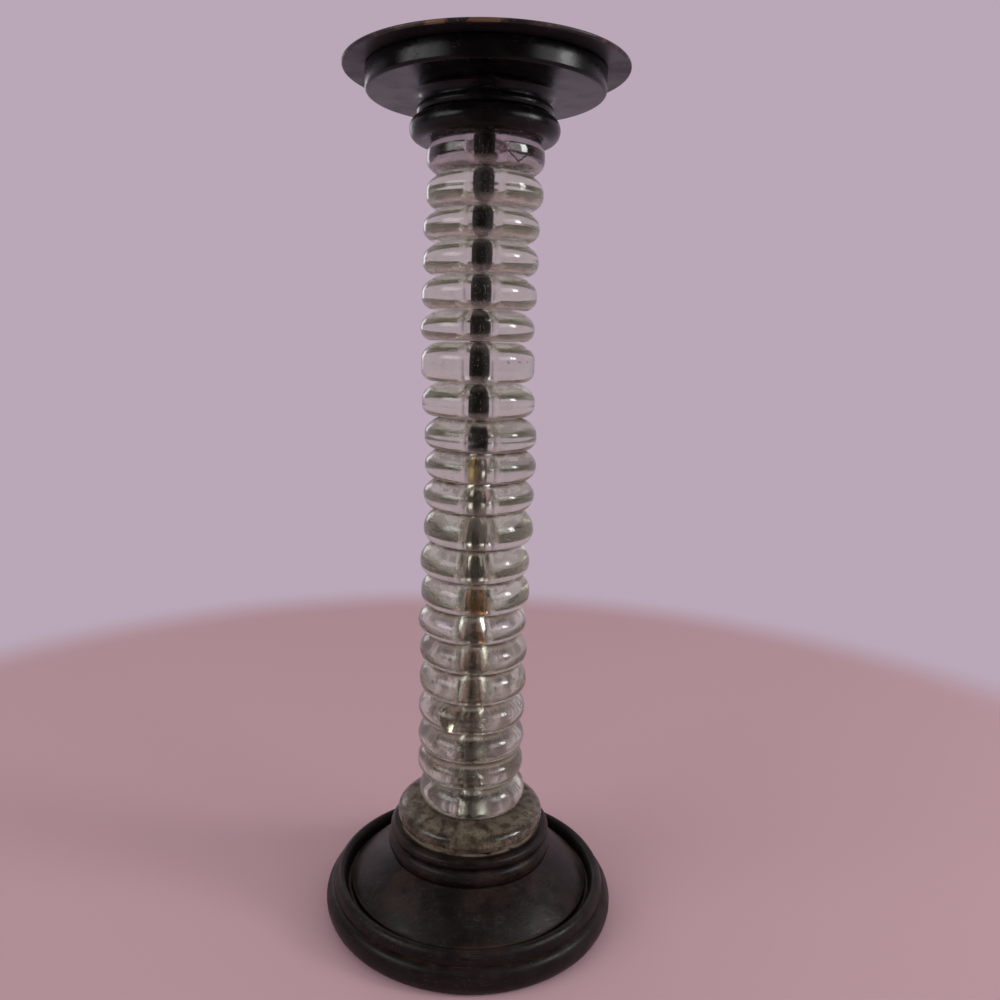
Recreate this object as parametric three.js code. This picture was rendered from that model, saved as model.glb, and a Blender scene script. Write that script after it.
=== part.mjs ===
// A pillar candle holder: a column of clear glass rings threaded on a tie rod, between a turned
// wooden foot and a turned wooden cup that carries a sheet-metal drip pan.
// Millimetres, +Z up, with the origin on the floor under the foot's centre.

import * as THREE from 'three';

// Clearances
const SEAT_GAP = 0.3; // between pieces that rest on each other
const FIT_GAP = 0.3; // round a piece that sits inside another
const ROD_HOLE_CLEARANCE = 0.4; // round the rod where it passes through wood, sheet metal and washers

// Tie rod and its fasteners
const ROD_DIAMETER = 8;
const ROD_CHAMFER = 0.8;
const ROD_PROUD = 1.5; // length of rod that stands out past each nut
const NUT_ACROSS_FLATS = 13;
const NUT_HEIGHT = 6.5;
const WASHER_DIAMETER = 24;
const WASHER_THICKNESS = 1.6;

// Column of glass rings. Each ring has a wide crown above its widest line and a tighter heel below it.
const RING_BORE = 11;
const RING_DIAMETER = 44;
const RING_THICKNESS = 12;
const RING_THICKNESS_STEP = 0.5;
const RING_CROWN_DEPTH = 6.2;
const RING_HEEL_DEPTH = 4.5;
const RING_HEEL_HEIGHT = 5;

// The rings from the bottom up. Steps tells how much thicker or thinner than usual the ring is,
// and shift is the part of the bore's play that it has moved along +X.
const COLUMN = [
  { steps: 1, shift: 0.6 },
  { steps: -2, shift: -0.3 },
  { steps: 0, shift: -0.2 },
  { steps: 0, shift: -0.2 },
  { steps: 1, shift: 0 },
  { steps: 0, shift: 0 },
  { steps: -1, shift: -0.6 },
  { steps: 1, shift: 0.2 },
  { steps: 2, shift: -0.2 },
  { steps: 3, shift: 0.8 },
  { steps: -1, shift: 0.6 },
  { steps: -1, shift: 1 },
  { steps: 1, shift: 0.8 },
  { steps: 2, shift: -0.2 },
  { steps: 6, shift: -0.6 },
  { steps: -1, shift: -0.9 },
  { steps: 1, shift: -0.6 },
  { steps: 0, shift: -0.4 },
  { steps: -1, shift: -0.4 },
  { steps: 1, shift: 0.4 },
  { steps: -4, shift: 0.5, upsideDown: true },
];

// Wide glass ring between the foot and the column
const BASE_RING_DIAMETER = 60.8;
const BASE_RING_THICKNESS = 9;
const BASE_RING_CROWN_DEPTH = 4.5;
const BASE_RING_HEEL_DEPTH = 3.5;
const BASE_RING_HEEL_HEIGHT = 4.2;

// Turned wooden foot, from the floor up
const FOOT_DIAMETER = 121.2;
const FOOT_RIM_BEAD_HEIGHT = 10.6;
const FOOT_RIM_BEAD_DEPTH = 3.3;
const FOOT_UPPER_RIM_BEAD_WIDTH = 5.6;
const FOOT_UPPER_RIM_BEAD_HEIGHT = 5.2;
const FOOT_GROOVE_WIDTH = 1.7;
const FOOT_GROOVE_DEPTH = 2.6; // below the edge of the sloping face
const FOOT_SLOPE_EDGE_RISE = 2.2; // of that edge above the rim bead
const FOOT_SLOPE_RISE = 13.2;
const FOOT_SLOPE_BULGE = 0.8;
const FOOT_SLOPE_LEDGE = 1.8; // from the top of the slope in to the collar
const FOOT_COLLAR_DIAMETER = 62.8; // at the root of the two beads under the glass
const FOOT_LARGE_BEAD_HEIGHT = 7.2;
const FOOT_LARGE_BEAD_DEPTH = 3;
const FOOT_SMALL_BEAD_HEIGHT = 4.4;
const FOOT_SMALL_BEAD_DEPTH = 2;
const FOOT_RECESS_DIAMETER = 40;
const FOOT_RECESS_HEADROOM = 3; // between the rod's end and the floor

// Turned wooden cup, from the column up
const CUP_NECK_DIAMETER = 47.4;
const CUP_LARGE_BEAD_HEIGHT = 8.8;
const CUP_LARGE_BEAD_DEPTH = 4.25;
const CUP_SMALL_BEAD_HEIGHT = 3.8;
const CUP_SMALL_BEAD_DEPTH = 1.55;
const CUP_COVE_HEIGHT = 3.9;
const CUP_COVE_DEPTH = 2.8;
const CUP_DISC_DIAMETER = 88.2;
const CUP_DISC_THICKNESS = 7.6;
const CUP_DISC_LOWER_ROUND = 1.2;
const CUP_DISC_UPPER_ROUND = 0.6;

// Drip pan of pressed sheet, with a well in the middle that hides the upper nut below the candle's seat
const PAN_DIAMETER = 104.8;
const PAN_SHEET = 0.9;
const PAN_LIP_RISE = 0.5; // of the rim above the candle's seat
const PAN_LIP_SLOPE = 1.5;
const PAN_WELL_DIAMETER = 28;
const PAN_WELL_CORNER = 2; // inside radius where the sheet is bent
const PAN_WELL_HEADROOM = 0.8; // between the rod's end and the candle's seat

// Facets
const TURNED_SIDES = 32;
const RING_SIDES = 24;
const WASHER_SIDES = 16;
const ROD_SIDES = 16;

// Radii and heights that follow from the sizes above
const rodRadius = ROD_DIAMETER / 2;
const rodHoleRadius = rodRadius + ROD_HOLE_CLEARANCE;
const ringPlay = (RING_BORE - ROD_DIAMETER) / 2 - FIT_GAP;
const fastenerStack = SEAT_GAP + WASHER_THICKNESS + SEAT_GAP + NUT_HEIGHT + ROD_PROUD;
const footRecessDepth = fastenerStack + FOOT_RECESS_HEADROOM;
const slopeEdgeHeight = FOOT_RIM_BEAD_HEIGHT + FOOT_SLOPE_EDGE_RISE;
const footHeight = slopeEdgeHeight + FOOT_SLOPE_RISE + FOOT_LARGE_BEAD_HEIGHT + FOOT_SMALL_BEAD_HEIGHT;
const cupHeight =
  CUP_LARGE_BEAD_HEIGHT + CUP_SMALL_BEAD_HEIGHT + CUP_COVE_HEIGHT + CUP_DISC_THICKNESS;
const panWellDepth = fastenerStack + PAN_WELL_HEADROOM;
const panWellOuterRadius = PAN_WELL_DIAMETER / 2 + PAN_SHEET;

// Finishes
const darkWood = { color: 0x2b211b, roughness: 0.45, metalness: 0 };
const blackWood = { color: 0x121110, roughness: 0.25, metalness: 0 };
const blackPaint = { color: 0x171514, roughness: 0.35, metalness: 0.3 };
const clearGlass = { color: 0xd8dcd2, roughness: 0.05, metalness: 0, transparent: true, opacity: 0.35 };
const steel = { color: 0x55504a, roughness: 0.4, metalness: 1 };

const candleHolder = new THREE.Group();

// Adds one named piece, moved from its own origin to x along +X and to height z.
function addPiece(name, geometry, finish, z = 0, x = 0) {
  const piece = new THREE.Mesh(geometry, new THREE.MeshStandardMaterial(finish));
  piece.name = name;
  piece.position.set(x, 0, z);
  candleHolder.add(piece);
}

function point(radius, height) {
  return new THREE.Vector2(radius, height);
}

// Points along an ellipse round (radius, height), from one angle to another in degrees.
function arc(radius, height, depth, rise, from, to, steps) {
  const start = THREE.MathUtils.degToRad(from);
  const end = THREE.MathUtils.degToRad(to);
  return new THREE.EllipseCurve(radius, height, depth, rise, start, end, from > to).getPoints(steps);
}

// Half-round bead that stands out from a root radius, between two heights.
function bead(rootRadius, bottom, height, depth, steps) {
  return arc(rootRadius, bottom + height / 2, depth, height / 2, -90, 90, steps);
}

// Turns a closed outline of radii and heights round the upright axis.
function turned(outline, sides) {
  return new THREE.LatheGeometry([...outline, outline[0]], sides).rotateX(Math.PI / 2);
}

function footGeometry() {
  const rimRoot = FOOT_DIAMETER / 2 - FOOT_RIM_BEAD_DEPTH;
  const upperBeadHalf = FOOT_UPPER_RIM_BEAD_WIDTH / 2;
  const upperBeadMiddle = rimRoot - upperBeadHalf;
  const slopeEdge = rimRoot - FOOT_UPPER_RIM_BEAD_WIDTH - FOOT_GROOVE_WIDTH;
  const grooveFloor = slopeEdgeHeight - FOOT_GROOVE_DEPTH;
  const collar = FOOT_COLLAR_DIAMETER / 2;
  const slopeTop = collar + FOOT_SLOPE_LEDGE;
  const slopeTopHeight = slopeEdgeHeight + FOOT_SLOPE_RISE;
  const slopeMiddle = (slopeEdge + slopeTop) / 2;
  const slopeMiddleHeight = (slopeEdgeHeight + slopeTopHeight) / 2;
  const slope = new THREE.QuadraticBezierCurve(
    point(slopeEdge, slopeEdgeHeight),
    point(slopeMiddle + FOOT_SLOPE_BULGE, slopeMiddleHeight + FOOT_SLOPE_BULGE),
    point(slopeTop, slopeTopHeight),
  );
  const smallBeadBottom = slopeTopHeight + FOOT_LARGE_BEAD_HEIGHT;
  return turned([
    point(FOOT_RECESS_DIAMETER / 2, 0),
    ...bead(rimRoot, 0, FOOT_RIM_BEAD_HEIGHT, FOOT_RIM_BEAD_DEPTH, 5),
    ...arc(upperBeadMiddle, FOOT_RIM_BEAD_HEIGHT,
      upperBeadHalf, FOOT_UPPER_RIM_BEAD_HEIGHT, 0, 180, 5).slice(1),
    point(slopeEdge + FOOT_GROOVE_WIDTH, grooveFloor),
    point(slopeEdge, grooveFloor),
    ...slope.getPoints(3),
    ...bead(collar, slopeTopHeight, FOOT_LARGE_BEAD_HEIGHT, FOOT_LARGE_BEAD_DEPTH, 4),
    ...bead(collar, smallBeadBottom, FOOT_SMALL_BEAD_HEIGHT, FOOT_SMALL_BEAD_DEPTH, 4).slice(1),
    point(rodHoleRadius, footHeight),
    point(rodHoleRadius, footRecessDepth),
    point(FOOT_RECESS_DIAMETER / 2, footRecessDepth),
  ], TURNED_SIDES);
}

// A glass ring that stands on its lower face: flat faces, a wide crown and a tighter heel.
function ringGeometry(diameter, thickness, crownDepth, heelDepth, heelHeight, upsideDown, sides) {
  const edge = diameter / 2;
  const bore = RING_BORE / 2;
  const outline = [
    point(bore, 0),
    ...arc(edge - heelDepth, heelHeight, heelDepth, heelHeight, -90, 0, 3),
    ...arc(edge - crownDepth, heelHeight, crownDepth, thickness - heelHeight, 0, 90, 3).slice(1),
    point(bore, thickness),
  ];
  if (upsideDown) {
    outline.reverse();
    outline.forEach((corner) => corner.set(corner.x, thickness - corner.y));
  }
  return turned(outline, sides);
}

function cupGeometry() {
  const neck = CUP_NECK_DIAMETER / 2;
  const smallBeadBottom = CUP_LARGE_BEAD_HEIGHT;
  const coveBottom = smallBeadBottom + CUP_SMALL_BEAD_HEIGHT;
  const discBottom = coveBottom + CUP_COVE_HEIGHT;
  const discEdge = CUP_DISC_DIAMETER / 2;
  const lowerRound = Math.min(CUP_DISC_LOWER_ROUND, CUP_DISC_THICKNESS / 2);
  const upperRound = Math.min(CUP_DISC_UPPER_ROUND, CUP_DISC_THICKNESS / 2);
  const wellMouth = PAN_WELL_CORNER - FIT_GAP;
  const wellMouthRadius = panWellOuterRadius + PAN_WELL_CORNER;
  return turned([
    point(rodHoleRadius, 0),
    ...bead(neck, 0, CUP_LARGE_BEAD_HEIGHT, CUP_LARGE_BEAD_DEPTH, 5),
    ...bead(neck, smallBeadBottom, CUP_SMALL_BEAD_HEIGHT, CUP_SMALL_BEAD_DEPTH, 4).slice(1),
    ...arc(neck + CUP_COVE_DEPTH, coveBottom, CUP_COVE_DEPTH, CUP_COVE_HEIGHT, 180, 90, 3).slice(1),
    ...arc(discEdge - lowerRound, discBottom + lowerRound, lowerRound, lowerRound, -90, 0, 3),
    ...arc(discEdge - upperRound, cupHeight - upperRound, upperRound, upperRound, 0, 90, 2),
    ...arc(wellMouthRadius, cupHeight - wellMouth, wellMouth, wellMouth, 90, 180, 2),
    point(panWellOuterRadius + FIT_GAP, cupHeight - panWellDepth - PAN_SHEET),
    point(rodHoleRadius, cupHeight - panWellDepth - PAN_SHEET),
  ], TURNED_SIDES);
}

// The pan's height zero is the underside of its flat seat, which rests on the cup.
function panGeometry() {
  const rimHalf = (PAN_SHEET + PAN_LIP_RISE) / 2;
  const rimMiddle = PAN_DIAMETER / 2 - rimHalf;
  const wellRadius = PAN_WELL_DIAMETER / 2;
  const wellFloor = PAN_SHEET - panWellDepth;
  const bendRadius = PAN_WELL_CORNER + PAN_SHEET;
  const lowerBend = point(wellRadius - PAN_WELL_CORNER, wellFloor + PAN_WELL_CORNER);
  const upperBend = point(panWellOuterRadius + PAN_WELL_CORNER, -PAN_WELL_CORNER);
  return turned([
    point(rodHoleRadius, wellFloor - PAN_SHEET),
    ...arc(lowerBend.x, lowerBend.y, bendRadius, bendRadius, -90, 0, 2),
    ...arc(upperBend.x, upperBend.y, PAN_WELL_CORNER, PAN_WELL_CORNER, 180, 90, 2),
    ...arc(rimMiddle, rimHalf, rimHalf, rimHalf, -90, 90, 3),
    point(rimMiddle - PAN_LIP_SLOPE, PAN_SHEET),
    ...arc(upperBend.x, upperBend.y, bendRadius, bendRadius, 90, 180, 2),
    ...arc(lowerBend.x, lowerBend.y, PAN_WELL_CORNER, PAN_WELL_CORNER, 0, -90, 2),
    point(rodHoleRadius, wellFloor),
  ], TURNED_SIDES);
}

function rodGeometry(length) {
  return new THREE.LatheGeometry([
    point(0, 0),
    point(rodRadius - ROD_CHAMFER, 0),
    point(rodRadius, ROD_CHAMFER),
    point(rodRadius, length - ROD_CHAMFER),
    point(rodRadius - ROD_CHAMFER, length),
    point(0, length),
  ], ROD_SIDES).rotateX(Math.PI / 2);
}

function washerGeometry() {
  return turned([
    point(rodHoleRadius, 0),
    point(WASHER_DIAMETER / 2, 0),
    point(WASHER_DIAMETER / 2, WASHER_THICKNESS),
    point(rodHoleRadius, WASHER_THICKNESS),
  ], WASHER_SIDES);
}

function nutGeometry() {
  const cornerRadius = NUT_ACROSS_FLATS / Math.sqrt(3);
  const corners = [...Array(6).keys()].map((side) => {
    const angle = (side * Math.PI) / 3;
    return point(cornerRadius * Math.cos(angle), cornerRadius * Math.sin(angle));
  });
  const hexagon = new THREE.Shape(corners);
  hexagon.holes.push(new THREE.Path().absarc(0, 0, rodRadius + FIT_GAP, 0, 2 * Math.PI, true));
  return new THREE.ExtrudeGeometry(hexagon, { depth: NUT_HEIGHT, bevelEnabled: false, curveSegments: 6 });
}

// Foot, with the washer and nut up in its recess
const footWasherHeight = footRecessDepth - SEAT_GAP - WASHER_THICKNESS;
addPiece('foot', footGeometry(), darkWood);
addPiece('foot_washer', washerGeometry(), steel, footWasherHeight);
addPiece('foot_nut', nutGeometry(), steel, footWasherHeight - SEAT_GAP - NUT_HEIGHT);

// Glass, stacked upwards from the foot
let level = footHeight + SEAT_GAP;
addPiece('base_glass_ring', ringGeometry(BASE_RING_DIAMETER, BASE_RING_THICKNESS, BASE_RING_CROWN_DEPTH,
  BASE_RING_HEEL_DEPTH, BASE_RING_HEEL_HEIGHT, false, TURNED_SIDES), clearGlass, level);
level += BASE_RING_THICKNESS + SEAT_GAP;
COLUMN.forEach(({ steps, shift, upsideDown = false }, index) => {
  const name = `glass_ring_${String(index + 1).padStart(2, '0')}`;
  const thickness = RING_THICKNESS + steps * RING_THICKNESS_STEP;
  const geometry = ringGeometry(RING_DIAMETER, thickness, RING_CROWN_DEPTH, RING_HEEL_DEPTH,
    RING_HEEL_HEIGHT, upsideDown, RING_SIDES);
  addPiece(name, geometry, clearGlass, level, shift * ringPlay);
  level += thickness + SEAT_GAP;
});

// Cup, pan, and the washer and nut down in the pan's well
const panLevel = level + cupHeight + SEAT_GAP;
const panWasherHeight = panLevel + PAN_SHEET - panWellDepth + SEAT_GAP;
addPiece('candle_cup', cupGeometry(), blackWood, level);
addPiece('drip_pan', panGeometry(), blackPaint, panLevel);
addPiece('pan_washer', washerGeometry(), steel, panWasherHeight);
addPiece('pan_nut', nutGeometry(), steel, panWasherHeight + WASHER_THICKNESS + SEAT_GAP);

// Tie rod, from below the lower nut to above the upper one
const rodBottom = FOOT_RECESS_HEADROOM;
const rodTop = panLevel + PAN_SHEET - PAN_WELL_HEADROOM;
addPiece('tie_rod', rodGeometry(rodTop - rodBottom), steel, rodBottom);

export default candleHolder;
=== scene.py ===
"""Looks of a pillar candle holder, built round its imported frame.

A column of clear glass rings stands on a tie rod, between a turned wooden foot and a turned wooden cup
that carries a painted drip pan. Everything is in metres, +Z up, in the frame of the solids.
"""

import logging
import math
from dataclasses import dataclass, field
from enum import Enum
from typing import Callable, Sequence

import bmesh
import bpy
import numpy as np
from mathutils import Matrix, Vector
from mathutils.bvhtree import BVHTree


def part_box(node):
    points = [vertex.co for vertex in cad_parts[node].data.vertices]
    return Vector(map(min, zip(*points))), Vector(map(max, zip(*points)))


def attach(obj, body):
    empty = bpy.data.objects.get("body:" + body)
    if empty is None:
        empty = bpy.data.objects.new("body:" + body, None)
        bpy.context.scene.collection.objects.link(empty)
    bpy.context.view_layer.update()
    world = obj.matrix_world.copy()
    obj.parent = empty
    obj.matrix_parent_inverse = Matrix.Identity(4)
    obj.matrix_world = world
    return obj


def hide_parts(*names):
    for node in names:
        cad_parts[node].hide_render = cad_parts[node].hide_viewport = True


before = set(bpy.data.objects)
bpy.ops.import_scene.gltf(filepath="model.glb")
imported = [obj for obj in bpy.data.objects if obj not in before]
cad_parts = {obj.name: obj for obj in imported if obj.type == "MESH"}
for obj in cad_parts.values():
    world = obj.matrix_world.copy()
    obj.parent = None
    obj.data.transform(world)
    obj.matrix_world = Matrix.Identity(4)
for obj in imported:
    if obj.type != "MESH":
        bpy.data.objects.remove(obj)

LOG = logging.getLogger("candle_holder")
MM = 0.001
SAME_POINT = 1e-7
TURNED_CREASE = 50.0
STAND = "stand"

Colour = tuple[float, float, float, float]
Socket = bpy.types.NodeSocket
Feed = float | int | bool | Sequence[float] | Socket


class Slot(Enum):
    """Material slots of the record."""

    DARK_WOOD = "dark_wood"
    BLACK_WOOD = "black_wood"
    BLACK_SHEET = "black_sheet"
    CLEAR_GLASS = "clear_glass"
    STEEL = "steel"


class Effect(Enum):
    """Shader node groups that several finishes share."""

    DUST = "dust film"
    WEAR = "edge wear"
    SCRATCHES = "scratches"
    GRAIN = "wood grain"
    MOTTLE = "mottle"


class Graph:
    """A node tree that is being filled, with one short call for each node."""

    def __init__(self, tree: bpy.types.NodeTree) -> None:
        """Takes the tree to fill."""
        self.tree = tree

    def add(self, kind: str, feeds: dict[str | int, Feed] | None = None,
            **settings: object) -> bpy.types.Node:
        """Adds a node.

        Args:
            kind: Blender's type name of the node.
            feeds: Input names or numbers, with the constant or the socket that feeds each.
            settings: Properties of the node.

        Returns:
            The new node.
        """
        node = self.tree.nodes.new(kind)
        for name, value in settings.items():
            setattr(node, name, value)
        for key, value in (feeds or {}).items():
            self.feed(node.inputs[key], value)
        return node

    def feed(self, socket: Socket, value: Feed) -> None:
        """Links a socket to another one, or sets its constant.

        Args:
            socket: The input to feed.
            value: The constant, or the socket that feeds it.
        """
        if isinstance(value, bpy.types.NodeSocket):
            self.tree.links.new(value, socket)
        else:
            socket.default_value = value

    def math(self, operation: str, first: Feed, second: Feed = 0.0) -> Socket:
        """Returns the result of a math node."""
        return self.add("ShaderNodeMath", {0: first, 1: second}, operation=operation).outputs[0]

    def parts(self, vector: Feed) -> tuple[Socket, Socket, Socket]:
        """Returns a vector's x, y and z."""
        node = self.add("ShaderNodeSeparateXYZ", {0: vector})
        return node.outputs[0], node.outputs[1], node.outputs[2]

    def joined(self, x: Feed = 0.0, y: Feed = 0.0, z: Feed = 0.0) -> Socket:
        """Returns a vector made of x, y and z."""
        return self.add("ShaderNodeCombineXYZ", {0: x, 1: y, 2: z}).outputs[0]

    def from_axis(self, x: Feed, y: Feed) -> Socket:
        """Returns how far a point at x and y lies from the Z axis."""
        return self.math("SQRT", self.math("ADD", self.math("POWER", x, 2.0), self.math("POWER", y, 2.0)))

    def ramp(self, value: Feed, low: float, high: float, start: float = 0.0, end: float = 1.0) -> Socket:
        """Maps a value smoothly from low..high to start..end, and holds it beyond.

        Args:
            value: What is mapped.
            low: Value that gives start.
            high: Value that gives end.
            start: Result at low.
            end: Result at high.

        Returns:
            The mapped value.
        """
        feeds = {"Value": value, "From Min": low, "From Max": high, "To Min": start, "To Max": end}
        return self.add("ShaderNodeMapRange", feeds, interpolation_type="SMOOTHSTEP").outputs[0]

    def mix(self, share: Feed, first: Feed, second: Feed) -> Socket:
        """Returns a colour between first, at share 0, and second, at share 1."""
        return self.add("ShaderNodeMix", {0: share, 6: first, 7: second}, data_type="RGBA").outputs[2]

    def noise(self, position: Feed, scale: Feed, detail: float = 3.0, roughness: float = 0.55) -> Socket:
        """Returns a noise value, mostly between 0.3 and 0.7."""
        feeds = {"Vector": position, "Scale": scale, "Detail": detail, "Roughness": roughness}
        return self.add("ShaderNodeTexNoise", feeds).outputs[0]

    def stretched(self, position: Feed, scale: Sequence[float], turn: Sequence[float] = (0, 0, 0)) -> Socket:
        """Returns a position scaled axis by axis and turned."""
        feeds = {"Vector": position, "Scale": scale, "Rotation": turn}
        return self.add("ShaderNodeMapping", feeds).outputs[0]

    def place(self) -> Socket:
        """Returns the point's place in the frame, which every piece shares as its own."""
        return self.add("ShaderNodeTexCoord").outputs["Object"]

    def attribute(self, name: str) -> Socket:
        """Returns a number stored on the mesh."""
        return self.add("ShaderNodeAttribute", attribute_name=name).outputs["Fac"]

    def effect(self, effect: Effect, **feeds: Feed) -> Socket:
        """Places a shared effect.

        Args:
            effect: Which one.
            feeds: Its inputs by name, in lower case.

        Returns:
            Its mask.
        """
        node = self.add("ShaderNodeGroup", node_tree=EffectLibrary.group(effect))
        for name, value in feeds.items():
            self.feed(node.inputs[name.replace("_", " ").title()], value)
        return node.outputs["Mask"]

    def weighed(self, *terms: tuple[Socket, float]) -> Socket:
        """Adds masks up, each times its weight.

        Args:
            terms: Masks with their weights.

        Returns:
            The sum.
        """
        total = self.math("MULTIPLY", *terms[0])
        for mask, weight in terms[1:]:
            total = self.math("ADD", total, self.math("MULTIPLY", mask, weight))
        return total

    def blot(self, place: Socket, spot: "Spot") -> Socket:
        """Masks a ragged spot.

        Args:
            place: The point's place in the frame.
            spot: Where the spot lies, and how far it reaches.

        Returns:
            The mask, 1 inside the spot.
        """
        offset = self.add("ShaderNodeVectorMath", {0: place, 1: spot.place}, operation="SUBTRACT").outputs[0]
        shares = self.add("ShaderNodeVectorMath", {0: offset, 1: spot.reach}, operation="DIVIDE").outputs[0]
        away = self.add("ShaderNodeVectorMath", {0: shares}, operation="LENGTH").outputs["Value"]
        ragged = self.ramp(self.noise(place, 420.0, 5.0, 0.65), 0.3, 0.7, -0.4, 0.4)
        return self.ramp(self.math("ADD", away, ragged), 0.75, 1.0, 1.0, 0.0)

    def bump(self, height: Feed, strength: float, distance: float) -> Socket:
        """Returns the normal of a bumped surface."""
        feeds = {"Height": height, "Strength": strength, "Distance": distance}
        return self.add("ShaderNodeBump", feeds).outputs[0]


class EffectLibrary:
    """Builds each shared shader node group once."""

    _made: dict[Effect, bpy.types.NodeTree] = {}

    @classmethod
    def group(cls, effect: Effect) -> bpy.types.NodeTree:
        """Gives an effect's group.

        Args:
            effect: Which one.

        Returns:
            Its node tree, with a Mask output.
        """
        if effect not in cls._made:
            builders: dict[Effect, Callable[[bpy.types.NodeTree], None]] = {
                Effect.DUST: cls._dust,
                Effect.WEAR: cls._wear,
                Effect.SCRATCHES: cls._scratches,
                Effect.GRAIN: cls._grain,
                Effect.MOTTLE: cls._mottle,
            }
            tree = bpy.data.node_groups.new(effect.value, "ShaderNodeTree")
            cls._made[effect] = tree
            builders[effect](tree)
        return cls._made[effect]

    @staticmethod
    def _begin(tree: bpy.types.NodeTree, **numbers: float) -> tuple[Graph, Socket, dict[str, Socket]]:
        """Makes a group's sockets.

        Args:
            tree: The new group.
            numbers: Names, in lower case, and defaults of its inputs beside Position.

        Returns:
            The graph, the socket that takes the mask, and the inputs by the same names.
        """
        tree.interface.new_socket("Position", in_out="INPUT", socket_type="NodeSocketVector")
        for name, default in numbers.items():
            title = name.replace("_", " ").title()
            inlet = tree.interface.new_socket(title, in_out="INPUT", socket_type="NodeSocketFloat")
            inlet.default_value = default
        tree.interface.new_socket("Mask", in_out="OUTPUT", socket_type="NodeSocketFloat")
        graph = Graph(tree)
        source = graph.add("NodeGroupInput")
        outlet = graph.add("NodeGroupOutput")
        named = {name: source.outputs[name.replace("_", " ").title()] for name in ("position", *numbers)}
        return graph, outlet.inputs["Mask"], named

    @classmethod
    def _dust(cls, tree: bpy.types.NodeTree) -> None:
        """Dust in patches and specks, thickest on faces that look up.

        Args:
            tree: The new group.
        """
        graph, mask, inputs = cls._begin(tree, amount=0.5, patch_scale=60.0)
        _, _, up = graph.parts(graph.add("ShaderNodeNewGeometry").outputs["Normal"])
        lying = graph.ramp(up, -0.1, 0.85, 0.12, 1.0)
        patches = graph.ramp(graph.noise(inputs["position"], inputs["patch_scale"], 6.0, 0.65), 0.38, 0.68)
        specks = graph.ramp(graph.noise(inputs["position"], 2600.0, 2.0), 0.58, 0.7)
        film = graph.math("ADD", patches, graph.math("MULTIPLY", specks, 0.55))
        graph.feed(mask, graph.math("MULTIPLY", graph.math("MULTIPLY", film, lying), inputs["amount"]))

    @classmethod
    def _wear(cls, tree: bpy.types.NodeTree) -> None:
        """Rubbed places, along crests first and broken up by noise.

        Args:
            tree: The new group.
        """
        graph, mask, inputs = cls._begin(tree, crest=0.0, amount=0.5, patch_scale=150.0)
        ragged = graph.noise(inputs["position"], inputs["patch_scale"], 8.0, 0.62)
        rubbed = graph.math("MULTIPLY", inputs["crest"], inputs["amount"])
        graph.feed(mask, graph.ramp(graph.math("ADD", rubbed, ragged), 0.72, 1.0))

    @classmethod
    def _scratches(cls, tree: bpy.types.NodeTree) -> None:
        """Fine scratches in two directions, in patches.

        Args:
            tree: The new group.
        """
        graph, mask, inputs = cls._begin(tree, scale=90.0, width=0.012)
        lines: list[Socket] = []
        for turn in ((0.3, 0.2, 0.5), (1.1, -0.4, 2.2)):
            along = graph.stretched(inputs["position"], (1.0, 14.0, 14.0), turn)
            middle = graph.math("SUBTRACT", graph.noise(along, inputs["scale"], 1.0), 0.5)
            near = graph.math("DIVIDE", graph.math("ABSOLUTE", middle), inputs["width"])
            lines.append(graph.ramp(near, 0.2, 1.0, 1.0, 0.0))
        both = graph.math("MAXIMUM", lines[0], lines[1])
        patches = graph.ramp(graph.noise(inputs["position"], 110.0, 2.0), 0.5, 0.62)
        graph.feed(mask, graph.math("MULTIPLY", both, patches))

    @classmethod
    def _grain(cls, tree: bpy.types.NodeTree) -> None:
        """Streaks of wood grain along X, with darker pores.

        Args:
            tree: The new group.
        """
        graph, mask, inputs = cls._begin(tree, scale=60.0, pores=0.5)
        streaks = graph.noise(graph.stretched(inputs["position"], (1.0, 9.0, 9.0)), inputs["scale"], 6.0, 0.6)
        fine = graph.noise(graph.stretched(inputs["position"], (1.0, 26.0, 26.0)), 120.0, 2.0)
        pores = graph.math("MULTIPLY", graph.ramp(fine, 0.55, 0.66), inputs["pores"])
        graph.feed(mask, graph.math("SUBTRACT", graph.ramp(streaks, 0.3, 0.7), pores))

    @classmethod
    def _mottle(cls, tree: bpy.types.NodeTree) -> None:
        """Cloudy patches with ragged edges.

        Args:
            tree: The new group.
        """
        graph, mask, inputs = cls._begin(tree, scale=120.0, edge=0.5)
        folds = graph.noise(inputs["position"], inputs["scale"], 7.0, 0.66)
        drift = graph.noise(inputs["position"], 45.0, 2.0)
        blend = graph.math("ADD", graph.math("MULTIPLY", folds, 0.75), graph.math("MULTIPLY", drift, 0.25))
        from_edge = graph.math("SUBTRACT", blend, inputs["edge"])
        graph.feed(mask, graph.ramp(from_edge, -0.06, 0.08))


@dataclass(frozen=True)
class Spot:
    """A ragged spot round a point on a surface."""

    place: tuple[float, float, float]
    reach: tuple[float, float, float]


@dataclass(frozen=True)
class Stain(Spot):
    """A ragged spot with a colour of its own."""

    colour: Colour


@dataclass(frozen=True)
class Finish:
    """A material, made when it is first asked for."""

    name: str

    def material(self) -> bpy.types.Material:
        """Gives the material.

        Returns:
            The material, painted once.
        """
        made = bpy.data.materials.get(self.name)
        if made is None:
            made = bpy.data.materials.new(self.name)
            made.use_nodes = True
            made.node_tree.nodes.clear()
            graph = Graph(made.node_tree)
            shader = graph.add("ShaderNodeBsdfPrincipled")
            output = graph.add("ShaderNodeOutputMaterial", {"Surface": shader.outputs[0]})
            self.paint(graph, shader, output)
        return made

    def paint(self, graph: Graph, shader: bpy.types.Node, output: bpy.types.Node) -> None:
        """Fills the material's nodes.

        Args:
            graph: The material's tree.
            shader: Its Principled BSDF.
            output: Its output node.
        """
        raise NotImplementedError


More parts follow.
